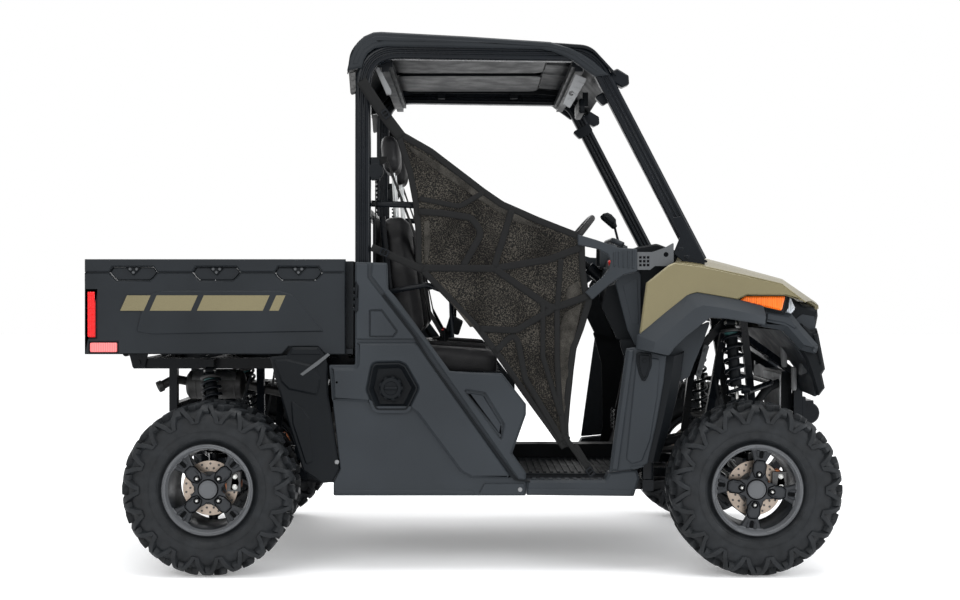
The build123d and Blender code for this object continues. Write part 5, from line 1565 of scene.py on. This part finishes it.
def seats():
    """Two seats with bolstered cushions and backs, stitched inserts and headrests."""
    base, base_insert, backs, back_insert, rests, posts, seams = (Shape() for _ in range(7))
    base_tilt = Matrix.Translation((-20, 0, 776)) @ Matrix.Rotation(radians(4), 4, "Y")
    base.join(cushion((-200, SEAT_IN, -62), (136, SEAT_SIDE, 26), 34), base_tilt)
    base_insert.join(cushion((-150, SEAT_IN + 92, 16), (98, SEAT_SIDE - 92, 40), 22), base_tilt)
    back_place = Matrix.Translation((-190, 0, 846)) @ Matrix.Rotation(-BACK_LEAN, 4, "Y")
    # drawn lying down: X up the back, Z towards the driver
    upright_back = back_place @ Matrix.Rotation(-pi / 2, 4, "Y")
    back = [(0, SEAT_IN + 14), (0, SEAT_SIDE - 20), (250, SEAT_SIDE - 12), (400, SEAT_SIDE - 60),
            (476, SEAT_SIDE - 110), (476, SEAT_IN + 104), (400, SEAT_IN + 54), (250, SEAT_IN + 6)]
    backs.join(slab(rounded(back, 40, steps=3), 70, -22, edge=26, foot=10), upright_back)
    insert = [(30, 160), (30, 410), (250, 424), (400, 372), (400, 198), (250, 146)]
    back_insert.join(slab(rounded(insert, 26, steps=3), -14, -36, edge=10, foot=3), upright_back)
    rest = [(10, 180), (10, 390), (60, 402), (136, 384), (156, 350), (156, 220), (136, 186), (60, 168)]
    rest_place = Matrix.Translation((-296, 0, 1466)) @ Matrix.Rotation(-radians(6), 4, "Y")
    rest_place = rest_place @ Matrix.Rotation(-pi / 2, 4, "Y")
    rests.join(slab(rounded(rest, 24, steps=3), 22, -38, edge=20, foot=8), rest_place)
    for y in (220, 340):
        posts.join(rod((-278, y, 1300), (-288, y, 1490), 7, 16))
    for t in (0.27, 0.5, 0.73):
        x = -150 + 248 * t
        seams.join(swept([base_tilt @ Vector((x, y, 40.5 - 3 * abs(y - 285) / 120))
                          for y in range(170, 405, 18)], round_section(1.6, 6)))
        u = 40 + 350 * t
        seams.join(swept([upright_back @ Vector((u, y, -37)) for y in range(176, 400, 18)],
                         round_section(1.6, 6), up=AHEAD))
    for name, shape, material, hides, cap in (
        ("seat_cushions", base, SEAT, ["seat_bases"], 8),
        ("seat_cushion_inserts", base_insert, SEAT_PANEL, [], 5),
        ("seat_back_pads", backs, SEAT, ["seat_backs"], 9),
        ("seat_back_inserts", back_insert, SEAT_PANEL, [], 5),
        ("headrest_pads", rests, SEAT, ["headrests"], 6),
    ):
        cloth_pad(name, shape.mirrored(), material, hides, cap)
    piece("headrest_posts", posts.mirrored(), ZINC)
    piece("seat_stitching", seams.mirrored(), BELT, "seat_cover")
    frames = Shape()
    for y in (80, 490):
        frames.join(block((-225, y - 14, 694), (128, y + 14, 712)))
        frames.join(swept(bent([(-238, y, 700), (-278, y, 900), (-320, y, 1300)], 60),
                          square_section(11, 4), up=ACROSS))
    frames.join(block((-230, 62, 712), (120, 508, 722)))
    for z in (1000, 1250):
        frames.join(rod((-268 - (z - 850) * 0.11, 80, z), (-268 - (z - 850) * 0.11, 490, z), 9, 14))
    piece("seat_frames", frames.mirrored(), POWDER, "frame_paint", bevel=1)
    restraints = Shape()
    restraints.join(hose([(PILLAR_X + 28, -548, 1346), (-200, -548, 1340), (-150, -500, 1330)], 12, 40))
    restraints.join(hose([(-290, -520, 1020), (-150, -536, 1046), (-60, -536, 1010), (-60, -536, 850)], 10,
                         50))
    piece("side_restraint_bars", restraints.mirrored(), POWDER, "frame_paint")


def seat_belts():
    """Retractors, webbing, tongues and stalks behind and beside the seats."""
    cases, straps, hardware = Shape(), Shape(), Shape()
    cases.join(block((-356, -604, 1430), (-324, -556, 1512)))
    cases.join(rod((-340, -606, 1462), (-340, -554, 1462), 30, 28, 4))
    for k in range(9):
        cases.join(block((-344, -548, 1310 + 16 * k), (-330, -536, 1318 + 16 * k)))
    cases.join(block((-356, -604, 730), (-332, -556, 762)))
    web = rect(-22, -0.9, 22, 0.9)
    straps.join(swept([(-338, -580, 1430), (-340, -580, 1200), (-342, -580, 980), (-342, -580, 762)], web,
                      up=AHEAD))
    straps.join(swept([(-332, -575, 1498), (-300, -560, 1508), (-268, -520, 1420), (-205, -450, 1250),
                       (-190, -380, 1120), (-150, -260, 940), (-100, -190, 850)], web, up=AHEAD))
    hardware.join(block((-112, -196, 820), (-92, -150, 868)))
    socket = rounded([(-94, 858), (-72, 930), (-20, 900), (-38, 846)], 8)
    hardware.join(upright(slab(socket, -104, -70, edge=5, foot=5)))
    hardware.join(swept([(-120, -87, 800), (-78, -87, 858)], rect(-14, -3, 14, 3), up=ACROSS))
    hardware.join(swept([(-150, -170, 740), (-110, -172, 824)], rect(-12, -3, 12, 3), up=ACROSS))
    piece("belt_retractors", cases.mirrored(), DARK, hides=["seat_belts"], bevel=2)
    piece("belt_webbing", straps.mirrored(), BELT)
    piece("belt_buckles", hardware.mirrored(), DARK, bevel=2)
    red = Shape().join(block((-108, -190, 868), (-96, -158, 871)))
    piece("belt_buttons", red.mirrored(), RED_PLASTIC, bevel=0.8)


# ------------------------------------------------------------------ cab
WHEEL_CENTRE = Vector((427, 350, 1215))
WHEEL_DOWN = Vector((sin(radians(49)), 0, -cos(radians(49))))


def steering_wheel():
    """Three-spoke wheel with a padded rim and a hub cover."""
    place = frame_of(WHEEL_CENTRE, WHEEL_CENTRE - WHEEL_DOWN)
    rim = []
    for k in range(96):
        a = 2 * pi * k / 96
        grip = 15 + 1.2 * cos(3 * a)
        rim.append([place @ Vector(((169 + grip * cos(b)) * cos(a), (169 + grip * cos(b)) * sin(a),
                                    grip * sin(b))) for b in (2 * pi * j / 18 for j in range(18))])
    rim.append(rim[0])
    piece("steering_wheel_rim", skin(rim, caps=False), SEAT, "black_plastic", body="steering_wheel",
          hides=["steering_wheel"], angle=80)
    spokes = Shape()
    for a in (90, 205, 335):
        arm = slab(rounded([(30, -22), (90, -14), (162, -20), (162, 20), (90, 14), (30, 22)], 6), -8, 5,
                   edge=3)
        spokes.join(arm, place @ Matrix.Rotation(radians(a), 4, "Z"))
    spokes.join(turned([(58, -14), (58, 4), (52, 14), (40, 20), (22, 22), (0.5, 22)], 40), place)
    spokes.join(turned([(30, -50), (38, -14), (30, -12)], 30), place)
    spokes.join(turned([(13, -300), (13, -40)], 20), place)
    piece("steering_wheel_spokes", spokes, DARK, body="steering_wheel", bevel=1.5)


YZ_TO_FRONT = Matrix(((0, 0, 1, 0), (1, 0, 0, 0), (0, 1, 0, 0), (0, 0, 0, 1)))   # heights along X
DASH = [(592, 962), (574, 1088), (590, 1150), (622, 1184), (700, 1198), (786, 1166), (790, 1132),
        (730, 1100), (700, 962)]


def dashboard():
    """Moulded dash with a hooded instrument, vents, glove box, switches and grab rail."""
    for side, name in ((RIGHT, "passenger"), (LEFT, "driver")):
        shape = upright(slab(rounded(DASH, [12, 14, 20, 24, 30, 8, 4, 10, 10]), 1, 546, edge=6), side)
        piece(f"dash_{name}", shape, DARK, hides=["dashboard"] if side == RIGHT else [], bevel=3, angle=28)
    trim = Shape()
    hood_line = rounded([(246, 1120), (454, 1120), (430, 1226), (270, 1226)], 22)
    shell = slab(hood_line, 0, 120, edge=10, holes=[inset(hood_line, 14)])
    place = Matrix.Translation((566, 0, 0)) @ YZ_TO_FRONT
    trim.join(shell, place)
    trim.join(slab(inset(hood_line, 10), 46, 52), place)
    for y in (-420, -330, -210, 160, 500):
        vent = rounded(rect(y - 38, 1080, y + 38, 1124), 10)
        trim.join(slab(vent, 6, 22, edge=2, holes=[inset(vent, 7)]), place)
        for k in range(4):
            trim.join(block((578, y - 32, 1088 + 9 * k), (590, y + 32, 1091 + 9 * k)))
    glove = rounded(rect(-440, 975, -180, 1062), 14)
    trim.join(slab(glove, 4, 18, edge=3), place)
    for k in range(5):
        trim.join(block((570, -60 + 26 * k, 1096), (584, -42 + 26 * k, 1118)))
    trim.join(hose([(584, -170, 1196), (548, -190, 1214), (548, -440, 1214), (584, -460, 1196)], 11, 36))
    trim.join(rod((606, -20, 1184), (606, -20, 1200), 16, 20, 2))
    piece("dash_trim", trim, PANEL, "black_plastic", bevel=1.2)
    screen = Shape().join(slab(inset(hood_line, 26), 50, 54, edge=1), place)
    piece("instrument_screen", screen, glass_black(), "black_plastic", bevel=0.6)
    caps = Shape().join(rod((586, -96, 1140), (566, -96, 1136), 11, 24, 2))
    caps.join(rod((620, -560, 1150), (620, -590, 1150), 10, 20, 2))
    piece("red_caps", caps, RED_PLASTIC)


def glass_black():
    m = Nodes("screen_glass", (0.006, 0.008, 0.011), 0.08)
    m.color(m.ramp(m.noise(5, 2), (0.005, 0.007, 0.009), (0.010, 0.014, 0.020)))
    return m.material


def controls():
    """Gear lever with its gaiter and knob, pedals, and the interior mirror's arm."""
    lever = Shape()
    lever.join(turned([(34, 0), (34, 4), (24, 14), (26, 20), (17, 28), (19, 34), (10, 42), (8, 60)], 28),
               Matrix.Translation((622, 0, 1170)))
    lever.join(hose([(618, 0, 1200), (616, 0, 1230), (602, 0, 1284)], 5, 30))
    knob = [(542, 1330), (554, 1342), (572, 1346), (588, 1338), (606, 1318), (607, 1302), (611, 1291),
            (604, 1278), (592, 1280), (548, 1318)]
    lever.join(upright(slab(rounded(knob, 4), -18, 18, edge=9, foot=9)))
    lever.join(upright(slab(inset(knob, 12), -22, 22, edge=4, foot=4)))
    piece("gear_lever", lever, DARK, hides=["controls"], bevel=0.8)
    pedals = Shape()
    for y, width in ((300, 34), (400, 24)):
        pad = rounded(rect(y - width, 424, y + width, 516), 8)
        pedals.join(facing(slab(pad, 0, 8, edge=2), 637, -1))
        for k in range(5):
            pedals.join(block((626, y - width + 6, 434 + 17 * k), (630, y + width - 6, 440 + 17 * k)))
        pedals.join(swept(bent([(640, y, 470), (662, y, 560), (688, y, 700)], 60), square_section(6, 2),
                          up=ACROSS))
    piece("pedals", pedals, POWDER, bevel=0.8)
    mirror_shape = Shape()
    mirror_shape.join(block((470, -10, 1780), (492, 10, 1838)))
    glass = rounded([(-110, 1740), (110, 1740), (120, 1768), (110, 1800), (-110, 1800), (-120, 1768)], 14)
    mirror_shape.join(facing(slab(glass, 0, 22, edge=6), 468, -1))
    piece("cab_mirror", mirror_shape, DARK, bevel=1.5)


def cab():
    """Tub with its mats, tunnel ribs and side walls."""
    mats = Shape()
    for x in range(150, 600, 26):
        for side in (RIGHT, LEFT):
            mats.join(block((x, min(side * 70, side * 520), 346),
                            (x + 12, max(side * 70, side * 520), 350)))
    for k in range(7):
        mats.join(block((640 + 0.14 * 30 * k, -520, 380 + 26 * k),
                        (644 + 0.14 * 30 * k, -70, 390 + 26 * k)))
    piece("floor_mat_ribs", mats, DARK, bevel=1)
    foot = Shape()
    foot.join(panel([(636, 346), (704, 560), (706, 842), (560, 842), (600, 700), (604, 420), (590, 346)],
                    536, 545, edge=2, corner=8))
    foot.join(panel([(500, 966), (524, 1040), (570, 1052), (622, 880), (640, 840), (640, 820), (560, 842)],
                    470, 478, edge=2, corner=6))
    piece("footwell_sides", foot.mirrored(), DARK, bevel=1)
    kick = panel([(544, 1052), (560, 1080), (632, 1096), (640, 1080), (641, 822), (618, 822), (590, 880)],
                 552, 561, edge=3, corner=5)
    kick.join(panel([(572, 1046), (626, 1068), (630, 900), (606, 900)], 560, 563, edge=1, corner=6))
    piece("kick_panels", kick.mirrored(), PANEL, "black_plastic", bevel=1)


# ------------------------------------------------------------------ machinery
MUFFLER_Y, MUFFLER_Z = -214, 655
DRUM_X, DRUM_Z = 1362, 536           # winch drum


def exhaust():
    """Muffler with its bands, pipes and slotted heat shield."""
    x = REAR_X
    muffler = turned([(20, -4), (40, 0), (54, 10), (56, 16), (56, 209), (54, 215), (40, 225), (20, 229)],
                     40)
    pipes = Shape().join(between((x - 177, MUFFLER_Y, MUFFLER_Z), (x + 48, MUFFLER_Y, MUFFLER_Z), muffler))
    for at in (-140, -64, 12):
        pipes.join(rod((x + at, MUFFLER_Y, MUFFLER_Z), (x + at + 6, MUFFLER_Y, MUFFLER_Z), 57.5, 40, 1))
    pipes.join(hose([(x - 172, -225, 668), (x - 222, -262, 680), (x - 262, -284, 656)], 17, 50, 24))
    pipes.join(between((x - 262, -284, 656), (x - 290, -296, 642),
                       turned([(17, -4), (22, 0), (22, 18), (20, 19), (19, 2)], 28, caps=False)))
    pipes.join(hose([(x + 43, MUFFLER_Y, MUFFLER_Z), (x + 208, -215, 620), (x + 308, -120, 520),
                     (x + 384, -120, 520)], 17, 70, 20))
    piece("exhaust_pipes", pipes, CAST, hides=["exhaust"], bevel=0.6)
    shield = Shape()
    for k in range(7):
        a, b = radians(200 + 16 * k), radians(214 + 16 * k)
        shield.join(skin([[(px, MUFFLER_Y + 62 * cos(t), MUFFLER_Z - 62 * sin(t))
                           for t in (a, (a + b) / 2, b)] + [(px, MUFFLER_Y + 60 * cos(t),
                                                             MUFFLER_Z - 60 * sin(t))
                                                            for t in (b, (a + b) / 2, a)]
                          for px in (x - 150, x + 20)]))
    piece("exhaust_shield", shield, ZINC)


def winch():
    """Winch on its plate, with the rope, fairlead, hook and strap."""
    drum = Shape()
    drum.join(upright(slab(rounded(rect(1323, 606, 1335, 505), 2), -206, 206)))
    for y in (-146, 90):
        drum.join(rod((DRUM_X, y, DRUM_Z), (DRUM_X, y + 56, DRUM_Z), 44, 32, 5))
    drum.join(rod((DRUM_X, -90, DRUM_Z), (DRUM_X, 90, DRUM_Z), 26, 24, 2))
    drum.join(block((1333, -150, 568), (1380, 150, 587)))
    piece("winch_body", drum, POWDER, hides=["winch"], bevel=2)
    rope = Shape()
    for k in range(19):
        rope.join(rod((DRUM_X, -88 + 9.2 * k, DRUM_Z), (DRUM_X, -80 + 9.2 * k, DRUM_Z), 33, 24, 3))
    piece("winch_rope", rope, TRIM, "net_fabric")
    lips = rounded(rect(-95, 497, 95, 566), 10)
    slot = rounded(rect(-68, 517, 68, 546), 12)
    fairlead = facing(slab(lips, 1391, 1403, edge=4, foot=2, holes=[slot]), 0, 1)
    for y in (-82, 82):
        fairlead.join(bolt((1402, y, 531), (1, 0, 0), 6, 1))
    piece("winch_fairlead_plate", fairlead, ALLOY, bevel=1)
    hook = Shape().join(hose([(1388, 0, 531), (1399, 0, 530), (1401, 0, 500), (1394, -8, 482)], 6, 8))
    piece("winch_hook", hook, STEEL)
    tag = Shape().join(block((1395, -14, 452), (1398, 12, 496)))
    piece("winch_strap", tag, RED_PLASTIC, bevel=0.8)


def front_fittings():
    """Anti-roll bar, brake reservoirs and the plates beside the shock towers."""
    bar_shape = Shape()
    bar_shape.join(hose([(1046, -470, 650), (1060, -420, 640), (1180, -300, 668), (1180, 300, 668),
                         (1060, 420, 640), (1046, 470, 650)], 11, 60, 16))
    for side in (RIGHT, LEFT):
        bar_shape.join(rod((1046, side * 466, 650), (1040, side * 470, 440), 7, 12))
        bar_shape.join(rod((1030, side * 462, 650), (1062, side * 462, 650), 15, 20, 2))
        bar_shape.join(rod((1024, side * 462, 442), (1056, side * 462, 442), 14, 20, 2))
    piece("anti_roll_bar", bar_shape, POWDER)
    grey = Shape()
    grey.join(between((1232, -268, 824), (1236, -268, 724),
                      turned([(4, 0), (11, 4), (12, 12), (12, 88), (8, 98)], 24)))
    grey.join(between((1275, -262, 728), (1275, -262, 635),
                      turned([(5, 0), (10, 4), (11, 10), (11, 84), (7, 93)], 24)))
    piece("brake_reservoirs", grey, TRIM, bevel=0.6)
    plates = Shape().join(panel([(868, 700), (888, 694), (922, 812), (902, 820)], 388, 393, edge=1,
                                corner=4))
    plates.join(panel([(1260, 700), (1308, 722), (1300, 768), (1268, 776)], 396, 430, edge=4, corner=5))
    for at_x, z in ((886, 716), (906, 796), (1286, 742)):
        plates.join(bolt((at_x, -394 if at_x < 1000 else -430, z), OUTWARD, 5, 4))
    piece("tower_plates", plates.mirrored(), GREY, bevel=0.6)


def hoses_and_cooler():
    """Brake hoses, coolant and air hoses, and the radiator's fins."""
    x, hoses = REAR_X, Shape()
    for side in (RIGHT, LEFT):
        hoses.join(hose([(1046, side * 560, 372), (1010, side * 500, 470), (960, side * 420, 560),
                         (952, side * 330, 700)], 5, 70, 10))
        hoses.join(hose([(x + 60, side * 560, 372), (x + 30, side * 480, 470), (x + 60, side * 400, 560),
                         (x + 90, side * 330, 700)], 5, 70, 10))
    hoses.join(hose([(1262, -120, 660), (1200, -140, 640), (1120, -120, 520), (900, -100, 440),
                     (720, -60, 392)], 17, 90))
    hoses.join(hose([(1262, 120, 500), (1180, 130, 470), (1000, 110, 440), (720, 60, 392)], 17, 90))
    hoses.join(hose([(x + 430, -60, 660), (x + 380, -150, 700), (x + 240, -180, 690), (x + 160, -60, 690)],
                    26, 70, 18))
    piece("hoses", hoses, RUBBER, "black_plastic")

    fins = Shape()
    for k in range(24):
        fins.join(block((1245, -150 + 12.6 * k, 470), (1291, -146 + 12.6 * k, 692)))
    piece("radiator_fins", fins, ALLOY)


def engine_and_underside():
    """Engine covers and fins, skid plate bolts, bed lever and hitch pin."""
    x, engine = REAR_X, Shape()
    for k in range(8):
        engine.join(block((-452, -122, 572 + 11 * k), (-228, 122, 577 + 11 * k)))
    engine.join(between((-440, -236, 470), (-440, -262, 470),
                        turned([(96, 0), (96, 14), (88, 22), (40, 24), (1, 24)], 44)))
    engine.join(between((-250, -236, 470), (-250, -262, 470),
                        turned([(82, 0), (82, 14), (74, 22), (36, 24), (1, 24)], 44)))
    engine.join(block((-440, -258, 400), (-250, -236, 548)))
    for at_x, z in ((-520, 470), (-440, 384), (-440, 556), (-345, 548), (-250, 396), (-250, 544),
                    (-172, 470)):
        engine.join(bolt((at_x, -258, z), OUTWARD, 6, 4))
    engine.join(rod((-340, -70, 660), (-340, -70, 690), 40, 32, 3))
    engine.join(block((-470, 80, 400), (-210, 186, 470)))
    piece("engine_fittings", engine, CAST, "iron", bevel=1.2)
    pan = Shape()
    for dx in (-160, 0, 160):
        for y in (-150, 150):
            pan.join(rod((600 + dx, y, 283.6), (600 + dx, y, 286), 14, 18))
            pan.join(rod((-600 + dx, y, 283.6), (-600 + dx, y, 286), 14, 18))
    piece("skid_plate_bolts", pan, ZINC)
    dress("bed_lever", GREY, 0.8)
    pin = Shape().join(rod((x - 337, -48, 430), (x - 337, 48, 430), 7.4, 16))
    pin.join(hose([(x - 337, 46, 430), (x - 337, 58, 430), (x - 337, 58, 404)], 7.2, 8))
    piece("hitch_pin_rod", pin, ZINC)


# ------------------------------------------------------------------ studio
CAMERA_AT = (0.008, -5.605, 1.0)
PICTURE_W, PICTURE_H, SENSOR_W = 960, 600, 36.0
FOCAL_PX, PRINCIPAL = 1366, (470, 297)
FLOOR_GLOW = 0.22            # lifts the far floor to the wall's white
FLOOR_HALF = 30


def studio():
    """Pale floor, soft lights and the photograph's camera."""
    floor = bpy.data.meshes.new("floor")
    corners = [(x * FLOOR_HALF, y * FLOOR_HALF, 0) for x, y in ((-1, -1), (1, -1), (1, 1), (-1, 1))]
    floor.from_pydata(corners, [], [(0, 1, 2, 3)])
    floor_obj = add_object("floor", floor)
    m = Nodes("floor_paper", (0.86, 0.865, 0.875), 0.7)
    m.color(m.ramp(m.noise(0.6, 3), (0.85, 0.855, 0.865), (0.875, 0.88, 0.89)))
    m.surface(Emission_Color=(1, 1, 1, 1), Emission_Strength=FLOOR_GLOW)
    floor_obj.data.materials.append(m.material)

    world = bpy.data.worlds.new("studio")
    bpy.context.scene.world = world
    world.use_nodes = True
    world.node_tree.nodes["Background"].inputs[0].default_value = (1.0, 1.0, 1.0, 1)
    world.node_tree.nodes["Background"].inputs[1].default_value = 1.0

    def area(name, at, aim, width, height, power, color=(1, 1, 1)):
        light = bpy.data.lights.new(name, "AREA")
        light.shape, light.size, light.size_y = "RECTANGLE", width, height
        light.energy, light.color = power, color
        obj = add_object(name, light)
        obj.location = at
        obj.rotation_euler = (Vector(aim) - Vector(at)).to_track_quat("-Z", "Y").to_euler()

    area("overhead", (0.3, -0.6, 5.2), (0, 0, 0.6), 5.0, 3.0, 190)
    area("front_fill", (4.6, -3.2, 2.6), (0.6, 0, 0.7), 2.4, 2.4, 120, (0.96, 0.98, 1.0))
    area("camera_side", (-2.2, -5.4, 3.6), (-0.2, 0, 0.7), 3.6, 1.6, 90)
    area("far_side", (-1.5, 4.6, 3.4), (0, 0, 0.8), 4.0, 2.0, 90)

    camera = bpy.data.cameras.new("camera")
    camera.sensor_width, camera.lens = SENSOR_W, FOCAL_PX / PICTURE_W * SENSOR_W
    camera.shift_x = (PICTURE_W / 2 - PRINCIPAL[0]) / PICTURE_W
    camera.shift_y = (PRINCIPAL[1] - PICTURE_H / 2) / PICTURE_W
    camera_obj = add_object("camera", camera)
    camera_obj.location = CAMERA_AT
    camera_obj.rotation_euler = (pi / 2, 0, 0)
    bpy.context.scene.camera = camera_obj
    bpy.context.scene.view_settings.view_transform = "Standard"


wheels()
shocks()
running_gear()
quarter_panels()
rear_liners()
sills()
side_cowls()
front_fenders()
body_cowls()
hood()
roof()
cage()
nose()
plain_nodes()
cargo_bed()
tail_lamps()
tailgate()
side_nets()
seats()
seat_belts()
steering_wheel()
dashboard()
controls()
cab()
exhaust()
winch()
front_fittings()
hoses_and_cooler()
engine_and_underside()
studio()
